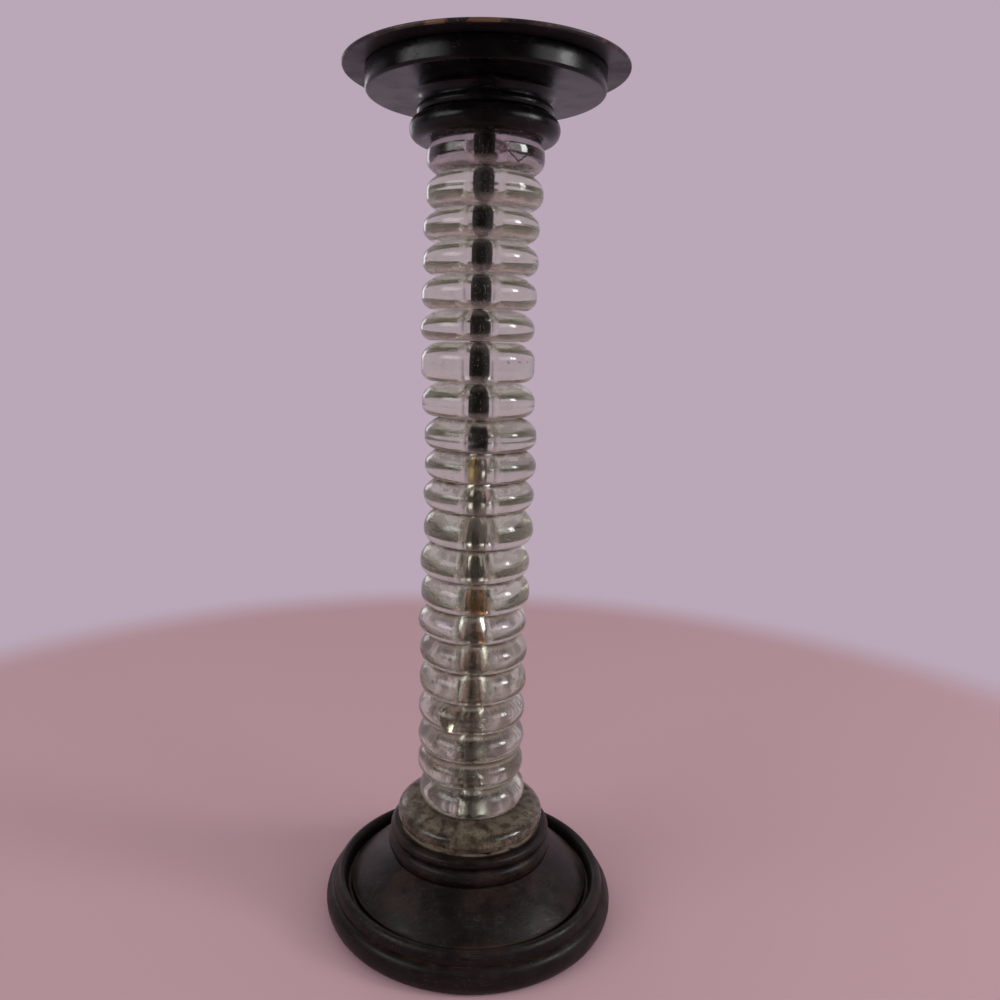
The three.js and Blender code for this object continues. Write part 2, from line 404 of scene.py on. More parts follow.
@dataclass(frozen=True)
class TurnedWood(Finish):
    """Ebonised wood off the lathe, waxed or lacquered, with worn crests and dust."""

    ground: Colour = (0.0052, 0.004, 0.0033, 1.0)
    streak: Colour = (0.0105, 0.0072, 0.0057, 1.0)
    worn: Colour = (0.036, 0.0195, 0.0125, 1.0)
    rooted: Colour = (0.062, 0.026, 0.015, 1.0)
    dust: Colour = (0.12, 0.1, 0.088, 1.0)
    residue: Colour = (0.4, 0.34, 0.25, 1.0)
    residue_from: float = 1.0
    residue_reach: float = 30.0 * MM
    residue_edge: tuple[float, float] = (2.0 * MM, 0.2 * MM)
    dark_from: float = 1.0
    dark_edge: float = 1.0 * MM
    browned: float = 0.45
    browned_beyond: float = 0.06
    rubbed: float = 0.3
    rooted_share: float = 0.75
    scratched: float = 0.24
    roughness: float = 0.34
    specular: float = 0.2
    wear: float = 0.38
    dust_amount: float = 0.07
    specks: float = 0.3
    grain_depth: float = 0.04 * MM

    def paint(self, graph: Graph, shader: bpy.types.Node, output: bpy.types.Node) -> None:
        """Paints grain, wear, scratches and dust.

        Args:
            graph: The material's tree.
            shader: Its Principled BSDF.
            output: Its output node.
        """
        place = graph.place()
        grain = graph.effect(Effect.GRAIN, position=place, scale=55.0, pores=0.6)
        worn = graph.effect(Effect.WEAR, position=place, crest=graph.attribute("crest"), amount=self.wear)
        clouds = graph.effect(Effect.MOTTLE, position=place, scale=70.0, edge=0.53)
        scratched = graph.effect(Effect.SCRATCHES, position=place, scale=70.0, width=0.01)
        dust = graph.effect(Effect.DUST, position=place, amount=self.dust_amount, patch_scale=55.0)
        colour = graph.mix(grain, self.ground, self.streak)
        x, y, z = graph.parts(place)
        away = graph.from_axis(x, y)
        brown = graph.ramp(away, self.dark_from - self.dark_edge, self.dark_from,
                           self.browned, self.browned_beyond)
        colour = graph.mix(graph.math("MULTIPLY", clouds, brown), colour, self.worn)
        colour = graph.mix(graph.math("MULTIPLY", worn, self.rubbed), colour, self.worn)
        broken = graph.ramp(graph.noise(place, 120.0), 0.35, 0.6)
        roots = graph.math("MULTIPLY", graph.attribute("root"), broken)
        colour = graph.mix(graph.math("MULTIPLY", roots, self.rooted_share), colour, self.rooted)
        colour = graph.mix(graph.math("MULTIPLY", scratched, self.scratched), colour, self.dust)
        specks = graph.ramp(graph.noise(place, 1300.0, 1.0), 0.7, 0.75)
        colour = graph.mix(graph.math("MULTIPLY", specks, self.specks), colour, self.dust)
        colour = graph.mix(dust, colour, self.dust)
        around, below = self.residue_edge
        top = graph.math("MULTIPLY", graph.ramp(z, self.residue_from - below, self.residue_from),
                         graph.ramp(away, self.residue_reach - around, self.residue_reach, 1.0, 0.0))
        left = graph.effect(Effect.MOTTLE, position=place, scale=150.0, edge=0.46)
        colour = graph.mix(graph.math("MULTIPLY", top, left), colour, self.residue)
        graph.feed(shader.inputs["Base Color"], colour)
        dull = graph.math("ADD", graph.math("MULTIPLY", dust, 0.5), graph.math("MULTIPLY", clouds, 0.06))
        smear = graph.ramp(graph.noise(place, 90.0, 4.0), 0.35, 0.65, -0.05, 0.06)
        rough = graph.math("ADD", graph.math("ADD", dull, smear), self.roughness)
        graph.feed(shader.inputs["Roughness"], rough)
        shader.inputs["Specular IOR Level"].default_value = self.specular
        height = graph.math("SUBTRACT", grain, graph.math("MULTIPLY", scratched, 1.2))
        graph.feed(shader.inputs["Normal"], graph.bump(height, 0.6, self.grain_depth))


@dataclass(frozen=True)
class PaintedSheet(Finish):
    """Brass sheet under black paint that has chipped along the rim."""

    paint_colour: Colour = (0.009, 0.0075, 0.0075, 1.0)
    brass: Colour = (0.36, 0.23, 0.12, 1.0)
    primer: Colour = (0.09, 0.06, 0.045, 1.0)
    dust: Colour = (0.2, 0.17, 0.17, 1.0)
    dust_amount: float = 0.3
    specks: float = 0.5
    bareness: float = 0.9
    specular: float = 0.3
    peel_depth: float = 0.08 * MM
    chips: tuple[Spot, ...] = ()

    def paint(self, graph: Graph, shader: bpy.types.Node, output: bpy.types.Node) -> None:
        """Paints the sheet, its chips and its dust.

        Args:
            graph: The material's tree.
            shader: Its Principled BSDF.
            output: Its output node.
        """
        place = graph.place()
        crest = graph.attribute("crest")
        rubbed = graph.effect(Effect.WEAR, position=place, crest=crest, amount=0.5, patch_scale=190.0)
        chipped = graph.effect(Effect.WEAR, position=place, crest=crest, amount=0.3, patch_scale=95.0)
        for chip in self.chips:
            chipped = graph.math("MAXIMUM", chipped, graph.math("MULTIPLY", graph.blot(place, chip), crest))
        dust = graph.effect(Effect.DUST, position=place, amount=self.dust_amount, patch_scale=70.0)
        specks = graph.ramp(graph.noise(place, 900.0, 2.0), 0.66, 0.72)
        colour = graph.mix(rubbed, self.paint_colour, self.primer)
        colour = graph.mix(chipped, colour, self.brass)
        colour = graph.mix(graph.math("MULTIPLY", specks, self.specks), colour, self.dust)
        colour = graph.mix(dust, colour, self.dust)
        graph.feed(shader.inputs["Base Color"], colour)
        graph.feed(shader.inputs["Metallic"], graph.math("MULTIPLY", chipped, self.bareness))
        shader.inputs["Specular IOR Level"].default_value = self.specular
        smear = graph.ramp(graph.noise(place, 60.0, 5.0), 0.35, 0.65, 0.3, 0.44)
        graph.feed(shader.inputs["Roughness"], graph.math("ADD", smear, graph.math("MULTIPLY", dust, 0.5)))
        orange_peel = graph.noise(place, 420.0, 2.0)
        height = graph.math("SUBTRACT", orange_peel, graph.math("MULTIPLY", chipped, 0.8))
        graph.feed(shader.inputs["Normal"], graph.bump(height, 0.35, self.peel_depth))


@dataclass(frozen=True)
class RingGlass(Finish):
    """Old moulded glass: clear, faintly green-grey, wavy, with a film of dirt, and painted shade in the
    bore's lower corner where rings meet.
    """

    clear: Colour = (0.985, 0.985, 0.98, 1.0)
    dirt: Colour = (0.7, 0.65, 0.58, 1.0)
    absorbed: Colour = (0.5, 0.56, 0.26, 1.0)
    absorption: float = 10.0
    transmission: float = 1.0
    dirt_share: float = 0.4
    dirt_edge: float = 0.56
    haze: float = 0.12
    flat_haze: float = 0.22
    flat_dirt: Colour = (0.62, 0.57, 0.5, 1.0)
    flat_share: float = 0.3
    dust_haze: float = 0.16
    bore_reach: float = 7.2 * MM
    bore_edge: float = 0.6 * MM
    bore_haze: float = 0.07
    refraction: float = 1.5
    # Near-black colour of the painted shade in the bore's lower corner, where one ring sits on the next.
    joint_grime_and_shade: Colour = (0.02, 0.017, 0.014, 1.0)
    seat_shade: float = 0.0
    stains: tuple[Stain, ...] = ()
    wave_depth: float = 0.06 * MM
    crinkle: float = 0.4

    def paint(self, graph: Graph, shader: bpy.types.Node, output: bpy.types.Node) -> None:
        """Paints clear glass with dirt, haze and waves, and painted shade in the bore's lower corner.

        Args:
            graph: The material's tree.
            shader: Its Principled BSDF.
            output: Its output node.
        """
        place = graph.place()
        x, y, _ = graph.parts(place)
        upward = graph.attribute("upward")
        level = graph.ramp(graph.math("ABSOLUTE", upward), 0.92, 0.99)
        bore = graph.ramp(graph.from_axis(x, y), self.bore_reach - self.bore_edge, self.bore_reach, 1.0, 0.0)
        film = graph.effect(Effect.MOTTLE, position=place, scale=130.0, edge=self.dirt_edge)
        patches = graph.effect(Effect.MOTTLE, position=place, scale=260.0, edge=0.47)
        joint_grime_and_shade = graph.math("MULTIPLY", patches, level)
        settled = graph.math("MULTIPLY", patches, graph.ramp(upward, 0.1, 0.7))
        scratched = graph.effect(Effect.SCRATCHES, position=place, scale=60.0, width=0.008)
        specks = graph.ramp(graph.noise(place, 1500.0, 1.0), 0.66, 0.71)
        soiled = graph.weighed((film, self.dirt_share), (specks, 0.5), (settled, 0.3))
        colour = graph.mix(soiled, self.clear, self.dirt)
        colour = graph.mix(graph.math("MULTIPLY", joint_grime_and_shade, self.flat_share), colour, self.flat_dirt)
        for stain in self.stains:
            colour = graph.mix(graph.math("MULTIPLY", graph.blot(place, stain), bore), colour, stain.colour)
        # Painted shade: the bore's lower corner, where rings meet, darkens towards near black.
        seated = graph.math("MULTIPLY", graph.attribute("seat"), self.seat_shade)
        graph.feed(shader.inputs["Base Color"], graph.mix(seated, colour, self.joint_grime_and_shade))
        rough = graph.weighed((film, self.haze), (scratched, self.haze), (joint_grime_and_shade, self.flat_haze),
                              (settled, self.dust_haze), (bore, self.bore_haze))
        graph.feed(shader.inputs["Roughness"], rough)
        shader.inputs["Transmission Weight"].default_value = self.transmission
        shader.inputs["IOR"].default_value = self.refraction
        waves = graph.noise(graph.stretched(place, (1.0, 1.0, 1.6)), 140.0, 2.0)
        inside = graph.math("MULTIPLY", bore, self.crinkle)
        crinkles = graph.math("MULTIPLY", graph.noise(place, 520.0, 3.0), inside)
        height = graph.math("ADD", waves, crinkles)
        graph.feed(shader.inputs["Normal"], graph.bump(height, 0.5, self.wave_depth))
        depth = graph.add("ShaderNodeVolumeAbsorption")
        depth.inputs["Color"].default_value = self.absorbed
        depth.inputs["Density"].default_value = self.absorption
        graph.feed(output.inputs["Volume"], depth.outputs[0])


@dataclass(frozen=True)
class DustFilm(Finish):
    """Dust and smears on glass, thickest where it looks up, with painted shade laid dark over the nearly flat
    faces where rings meet.
    """

    colour: Colour = (0.74, 0.67, 0.57, 1.0)
    # dark colours the dark grit and mottle, and also the painted shade in the joints between rings.
    dark: Colour = (0.12, 0.092, 0.055, 1.0)
    settled: float = 0.34
    smeared: float = 0.012
    specks: float = 0.5
    grit: float = 0.15
    creased: float = 0.15
    mottled: float = 0.0
    thickest: float = 0.9
    specular: float = 0.1

    def paint(self, graph: Graph, shader: bpy.types.Node, output: bpy.types.Node) -> None:
        """Paints the film as thin as it lies.

        Args:
            graph: The material's tree.
            shader: Its Principled BSDF.
            output: Its output node.
        """
        place = graph.place()
        patches = graph.effect(Effect.MOTTLE, position=place, scale=190.0, edge=0.47)
        thick = graph.ramp(patches, 0.0, 1.0, 0.5, 1.0)
        lying = graph.math("MULTIPLY", graph.ramp(graph.attribute("upward"), 0.2, 0.95), thick)
        smears = graph.ramp(graph.noise(place, 75.0, 4.0), 0.4, 0.7)
        specks = graph.ramp(graph.noise(place, 2300.0, 1.0), 0.72, 0.76)
        grit = graph.ramp(graph.noise(place, 1100.0, 2.0), 0.69, 0.73)
        # Painted shade: nearly flat faces, where one ring meets the next, get a darker and thicker film.
        slant = graph.math("ABSOLUTE", graph.attribute("upward"))
        uneven = graph.ramp(patches, 0.0, 1.0, 0.45, 1.0)
        crease_shade = graph.math("MULTIPLY", graph.ramp(slant, 0.72, 0.96), uneven)
        cover = graph.weighed((lying, self.settled), (smears, self.smeared), (specks, self.specks),
                              (grit, self.grit), (crease_shade, self.creased))
        graph.feed(shader.inputs["Alpha"], graph.math("MINIMUM", cover, self.thickest))
        soft = graph.ramp(graph.noise(place, 260.0, 6.0, 0.7), 0.4, 0.62)
        dark = graph.math("MAXIMUM", grit, graph.math("MULTIPLY", crease_shade, self.creased))
        dark = graph.math("MAXIMUM", dark, graph.math("MULTIPLY", soft, self.mottled))
        graph.feed(shader.inputs["Base Color"], graph.mix(dark, self.colour, self.dark))
        graph.feed(shader.inputs["Roughness"], graph.ramp(patches, 0.0, 1.0, 0.85, 0.95))
        shader.inputs["Specular IOR Level"].default_value = self.specular


@dataclass(frozen=True)
class RodSteel(Finish):
    """Drawn steel rod: dull black in its upper part, bare and stained below."""

    bare: Colour = (0.6, 0.57, 0.52, 1.0)
    streak: Colour = (0.24, 0.22, 0.19, 1.0)
    black: Colour = (0.004, 0.0034, 0.0028, 1.0)
    speck: Colour = (0.55, 0.5, 0.46, 1.0)
    black_from: float = 196.2 * MM
    black_edge: float = 0.3 * MM
    ragged: float = 0.6 * MM
    specks: float = 0.8
    black_roughness: float = 0.62
    stain_roughness: float = 0.5
    specular: float = 0.2
    dent_depth: float = 0.12 * MM
    stains: tuple[Stain, ...] = ()

    def paint(self, graph: Graph, shader: bpy.types.Node, output: bpy.types.Node) -> None:
        """Paints drawn streaks, the black part, its specks and the stains.

        Args:
            graph: The material's tree.
            shader: Its Principled BSDF.
            output: Its output node.
        """
        place = graph.place()
        _, _, up = graph.parts(place)
        drawn = graph.noise(graph.stretched(place, (18.0, 18.0, 1.0)), 45.0, 5.0)
        colour = graph.mix(graph.ramp(drawn, 0.35, 0.68), self.bare, self.streak)
        stained: Socket | float = 0.0
        for stain in self.stains:
            patchy = graph.ramp(graph.noise(place, 620.0, 4.0, 0.6), 0.38, 0.58, 0.3, 1.0)
            blot = graph.math("MULTIPLY", graph.blot(place, stain), patchy)
            colour = graph.mix(blot, colour, stain.colour)
            stained = graph.math("MAXIMUM", stained, blot)
        ragged = graph.ramp(graph.noise(place, 420.0, 3.0), 0.3, 0.7, -self.ragged, self.ragged)
        blackened = graph.ramp(graph.math("ADD", up, ragged), self.black_from - self.black_edge,
                               self.black_from + self.black_edge)
        colour = graph.mix(blackened, colour, self.black)
        specks = graph.math("MULTIPLY", graph.ramp(graph.noise(place, 2400.0, 1.0), 0.68, 0.74), blackened)
        colour = graph.mix(graph.math("MULTIPLY", specks, self.specks), colour, self.speck)
        graph.feed(shader.inputs["Base Color"], colour)
        graph.feed(shader.inputs["Metallic"], graph.ramp(blackened, 0.0, 1.0, 0.95, 0.0))
        shader.inputs["Specular IOR Level"].default_value = self.specular
        worn = graph.ramp(drawn, 0.3, 0.7, 0.1, 0.26)
        dull = graph.math("MAXIMUM", graph.math("MULTIPLY", blackened, self.black_roughness),
                          graph.math("MULTIPLY", stained, self.stain_roughness))
        graph.feed(shader.inputs["Roughness"], graph.math("MAXIMUM", worn, dull))
        dents = graph.noise(graph.stretched(place, (1.0, 1.0, 0.45)), 330.0, 3.0)
        height = graph.math("ADD", drawn, graph.math("MULTIPLY", dents, 2.5))
        graph.feed(shader.inputs["Normal"], graph.bump(height, 0.5, self.dent_depth))


@dataclass(frozen=True)
class PlatedSteel(Finish):
    """Zinc-plated fastener steel with dark dirt and a little rust."""

    plate: Colour = (0.52, 0.5, 0.47, 1.0)
    dull: Colour = (0.24, 0.22, 0.2, 1.0)
    rust: Colour = (0.16, 0.07, 0.03, 1.0)
    roughness: float = 0.35
    rust_roughness: float = 0.4
    pit_depth: float = 0.05 * MM

    def paint(self, graph: Graph, shader: bpy.types.Node, output: bpy.types.Node) -> None:
        """Paints plating, dull patches and rust.

        Args:
            graph: The material's tree.
            shader: Its Principled BSDF.
            output: Its output node.
        """
        place = graph.place()
        clouds = graph.effect(Effect.MOTTLE, position=place, scale=220.0, edge=0.5)
        rusted = graph.effect(Effect.MOTTLE, position=place, scale=160.0, edge=0.6)
        colour = graph.mix(clouds, self.plate, self.dull)
        graph.feed(shader.inputs["Base Color"], graph.mix(rusted, colour, self.rust))
        graph.feed(shader.inputs["Metallic"], graph.ramp(rusted, 0.0, 1.0, 1.0, 0.1))
        rough = graph.math("ADD", graph.math("MULTIPLY", rusted, self.rust_roughness), self.roughness)
        graph.feed(shader.inputs["Roughness"], rough)
        graph.feed(shader.inputs["Normal"], graph.bump(graph.noise(place, 900.0, 3.0), 0.3, self.pit_depth))


@dataclass(frozen=True)
class SilveryCrack(Finish):
    """The face of a crack inside glass, which mirrors like silver where it is met at a slant."""

    bright: Colour = (0.82, 0.79, 0.7, 1.0)
    dull: Colour = (0.36, 0.32, 0.24, 1.0)
    dull_roughness: float = 0.3
    ripple_depth: float = 0.2 * MM

    def paint(self, graph: Graph, shader: bpy.types.Node, output: bpy.types.Node) -> None:
        """Paints the mirror, its ripples and the dirt on it.

        Args:
            graph: The material's tree.
            shader: Its Principled BSDF.
            output: Its output node.
        """
        place = graph.place()
        crept = graph.effect(Effect.MOTTLE, position=place, scale=330.0, edge=0.52)
        graph.feed(shader.inputs["Base Color"], graph.mix(crept, self.bright, self.dull))
        graph.feed(shader.inputs["Roughness"], graph.math("MULTIPLY", crept, self.dull_roughness))
        shader.inputs["Metallic"].default_value = 1.0
        ripples = graph.noise(graph.stretched(place, (1.0, 1.0, 2.2)), 420.0, 2.0)
        graph.feed(shader.inputs["Normal"], graph.bump(ripples, 0.6, self.ripple_depth))


@dataclass(frozen=True)
class CrackedGlass(Finish):
    """The inside of a crack, dark and dull."""

    dark: Colour = (0.016, 0.013, 0.01, 1.0)
    pale: Colour = (0.08, 0.07, 0.055, 1.0)

    def paint(self, graph: Graph, shader: bpy.types.Node, output: bpy.types.Node) -> None:
        """Paints dirt that has crept into the crack.

        Args:
            graph: The material's tree.
            shader: Its Principled BSDF.
            output: Its output node.
        """
        place = graph.place()
        crept = graph.effect(Effect.MOTTLE, position=place, scale=400.0, edge=0.56)
        graph.feed(shader.inputs["Base Color"], graph.mix(crept, self.dark, self.pale))
        graph.feed(shader.inputs["Roughness"], graph.ramp(graph.noise(place, 300.0), 0.3, 0.7, 0.5, 0.8))


class Outline:
    """An outline of radii and heights that a turned piece follows, drawn from point to point."""

    shortest_reach: float = 0.4 * MM

    def __init__(self, radius: float, height: float) -> None:
        """Starts at one point."""
        self.points: list[tuple[float, float]] = [(radius, height)]

    def line(self, radius: float, height: float, steps: int = 1) -> "Outline":
        """Draws a straight line.

        Args:
            radius: Where it ends.
            height: Where it ends.
            steps: How many pieces it has.

        Returns:
            The outline itself.
        """
        from_radius, from_height = self.points[-1]
        for share in np.linspace(0.0, 1.0, steps + 1)[1:]:
            self.points.append((from_radius + (radius - from_radius) * share,
                                from_height + (height - from_height) * share))
        return self

    def arc(self, centre: tuple[float, float], depth: float, rise: float, turn: tuple[float, float],
            steps: int) -> "Outline":
        """Draws along an ellipse, after a straight line to its first point.

        Args:
            centre: The ellipse's radius and height of centre.
            depth: Its half width.
            rise: Its half height.
            turn: First and last angle, in degrees.
            steps: How many pieces it has.

        Returns:
            The outline itself.
        """
        for angle in np.radians(np.linspace(turn[0], turn[1], steps + 1)):
            corner = (centre[0] + depth * math.cos(angle), centre[1] + rise * math.sin(angle))
            if math.dist(corner, self.points[-1]) > SAME_POINT:
                self.points.append(corner)
        return self

    def bead(self, root: float, bottom: float, height: float, depth: float, steps: int) -> "Outline":
        """Draws a half-round bead.

        Args:
            root: Radius that it stands out from.
            bottom: Height of its lower end.
            height: How tall it is.
            depth: How far it stands out.
            steps: How many pieces it has.

        Returns:
            The outline itself.
        """
        return self.arc((root, bottom + height / 2), depth, height / 2, (-90.0, 90.0), steps)

    def bow(self, middle: tuple[float, float], end: tuple[float, float], steps: int) -> "Outline":
        """Draws a quadratic curve.

        Args:
            middle: The point that pulls it.
            end: Where it ends.
            steps: How many pieces it has.

        Returns:
            The outline itself.
        """
        start, pull, finish = np.array(self.points[-1]), np.array(middle), np.array(end)
        for share in np.linspace(0.0, 1.0, steps + 1)[1:]:
            left = 1 - share
            corner = left**2 * start + 2 * share * left * pull + share**2 * finish
            self.points.append((float(corner[0]), float(corner[1])))
        return self

    def bends(self, width: float) -> np.ndarray:
        """Tells how far each point is a crest that gets rubbed, or a root that gathers dirt.

        Args:
            width: Radius of a rounding that counts as a full crest or root.

        Returns:
            One number for each point, from -1 in a root to 1 on a crest.
        """
        points = np.array(self.points)
        ahead = np.roll(points, -1, 0) - points
        behind = points - np.roll(points, 1, 0)
        turn = np.arctan2(behind[:, 0] * ahead[:, 1] - behind[:, 1] * ahead[:, 0], (behind * ahead).sum(1))
        reach = (np.linalg.norm(ahead, axis=1) + np.linalg.norm(behind, axis=1)) / 2
        bend = turn / np.maximum(reach, self.shortest_reach)
        return np.clip(bend * width, -1.0, 1.0)


class Workshop:
    """Makes meshes, and hands them over as pieces of the frame."""

    @staticmethod
    def placed(name: str, data: bpy.types.ID) -> bpy.types.Object:
        """Puts a mesh, a lamp or a camera into the scene.

        Args:
            name: The object's name.
            data: What it shows.

        Returns:
            The new object.
        """
        piece = bpy.data.objects.new(name, data)
        bpy.context.scene.collection.objects.link(piece)
        return piece

    @staticmethod
    def turned(name: str, outline: Outline, sides: int, crest_width: float = 1.5 * MM) -> bpy.types.Object:
        """Turns a closed outline round the Z axis.

        Args:
            name: The piece's name.
            outline: Its outline, up the outside and down the inside.
            sides: How many sides the turning has.
            crest_width: Radius of a rounding that counts as a full crest.

        Returns:
            The piece, with its crests and roots stored on its mesh.
        """
        corners = np.array(outline.points)
        count = len(corners)
        angles = np.linspace(0.0, 2 * math.pi, sides, endpoint=False)
        places = np.empty((sides, count, 3))
        places[:, :, 0] = np.cos(angles)[:, None] * corners[None, :, 0]
        places[:, :, 1] = np.sin(angles)[:, None] * corners[None, :, 0]
        places[:, :, 2] = corners[None, :, 1]
        side, corner = np.meshgrid(np.arange(sides), np.arange(count), indexing="ij")
        next_side = (side + 1) % sides
        next_corner = (corner + 1) % count
        quads = np.stack([side * count + corner, next_side * count + corner,
                          next_side * count + next_corner, side * count + next_corner], -1)
        mesh = bpy.data.meshes.new(name)
        mesh.from_pydata(places.reshape(-1, 3).tolist(), [], quads.reshape(-1, 4).tolist())
        bends = np.tile(outline.bends(crest_width), sides).astype(np.float32)
        for name_kept, share in (("crest", bends), ("root", -bends)):
            kept = mesh.attributes.new(name_kept, "FLOAT", "POINT")
            kept.data.foreach_set("value", np.maximum(share, 0.0))
        piece = Workshop.placed(name, mesh)
        Workshop.closed(piece)
        return piece

    @staticmethod
    def kept(name: str, shape: bmesh.types.BMesh) -> bpy.types.Object:
        """Makes a piece of a shape, and frees the shape.

        Args:
            name: The piece's name.
            shape: Its faces.

        Returns:
            The piece, closed.
        """
        mesh = bpy.data.meshes.new(name)
        shape.to_mesh(mesh)
        shape.free()
        piece = Workshop.placed(name, mesh)
        Workshop.closed(piece)
        return piece

    @staticmethod
    def skinned(name: str, rows: Sequence[Sequence[Vector]]) -> bpy.types.Object:
        """Covers rows of points that follow each other round a tube or shell.

        Args:
            name: The piece's name.
            rows: Rows of points, each round the piece and as long as the others.

        Returns:
            The piece, closed at both ends.
        """
        shape = bmesh.new()
        corners = [[shape.verts.new(place) for place in row] for row in rows]
        for row, following in zip(corners, corners[1:]):
            for side in range(len(row)):
                after = (side + 1) % len(row)
                shape.faces.new((row[side], row[after], following[after], following[side]))
        shape.faces.new(corners[0][::-1])
        shape.faces.new(corners[-1])
        return Workshop.kept(name, shape)

    @staticmethod
    def closed(piece: bpy.types.Object) -> None:
        """Merges doubles, turns all faces outwards and shades them smooth.

        Args:
            piece: The piece, changed in place.
        """
        shape = bmesh.new()
        shape.from_mesh(piece.data)
        bmesh.ops.remove_doubles(shape, verts=shape.verts, dist=SAME_POINT)
        bmesh.ops.dissolve_degenerate(shape, edges=shape.edges, dist=SAME_POINT / 10)
        bmesh.ops.recalc_face_normals(shape, faces=shape.faces)
        for face in shape.faces:
            face.smooth = True
        shape.to_mesh(piece.data)
        shape.free()

    @staticmethod
    def creased(piece: bpy.types.Object, degrees: float) -> None:
        """Marks edges sharper than an angle, so that they stay crisp under smooth shading.

        Args:
            piece: The piece, changed in place.
            degrees: The angle between two faces.
        """
        shape = bmesh.new()
        shape.from_mesh(piece.data)
        for edge in shape.edges:
            edge.smooth = edge.calc_face_angle(0.0) < math.radians(degrees)
        shape.to_mesh(piece.data)
        shape.free()

    @staticmethod
    def grown(name: str, tree: bpy.types.NodeTree, values: dict[str, object]) -> bpy.types.Object:
        """Grows a piece from a Geometry Nodes tree and keeps its plain mesh.

        Args:
            name: The piece's name.
            tree: The tree.
            values: Its inputs by name.

        Returns:
            The piece, with no modifier left.
        """
        piece = Workshop.placed(name, bpy.data.meshes.new(name + "_seed"))
        modifier = piece.modifiers.new("shape", "NODES")
        modifier.node_group = tree
        for item in tree.interface.items_tree:
            if item.in_out == "INPUT" and item.name in values:
                modifier[item.identifier] = values[item.name]
        settled = piece.evaluated_get(bpy.context.evaluated_depsgraph_get())
        mesh = bpy.data.meshes.new_from_object(settled)
        piece.modifiers.clear()
        piece.data = mesh
        mesh.name = name
        Workshop.closed(piece)
        return piece

    @staticmethod
    def hand_over(piece: bpy.types.Object, body: str, slot: Slot, finish: Finish | None = None,
                  nodes: Sequence[str] = ()) -> None:
        """Dresses a finished piece and ties it to the frame.

        Args:
            piece: The piece.
            body: The body that it rides on.
            slot: The record's slot that its finish belongs to; not used.
            finish: Its finish, where the piece doesn't have one yet.
            nodes: The nodes that it stands for.
        """
        if finish is not None:
            piece.data.materials.clear()
            piece.data.materials.append(finish.material())
        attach(piece, body)
        if nodes:
            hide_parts(*nodes)
        LOG.info("%s: %d faces, rides on %s", piece.name, len(piece.data.polygons), body)


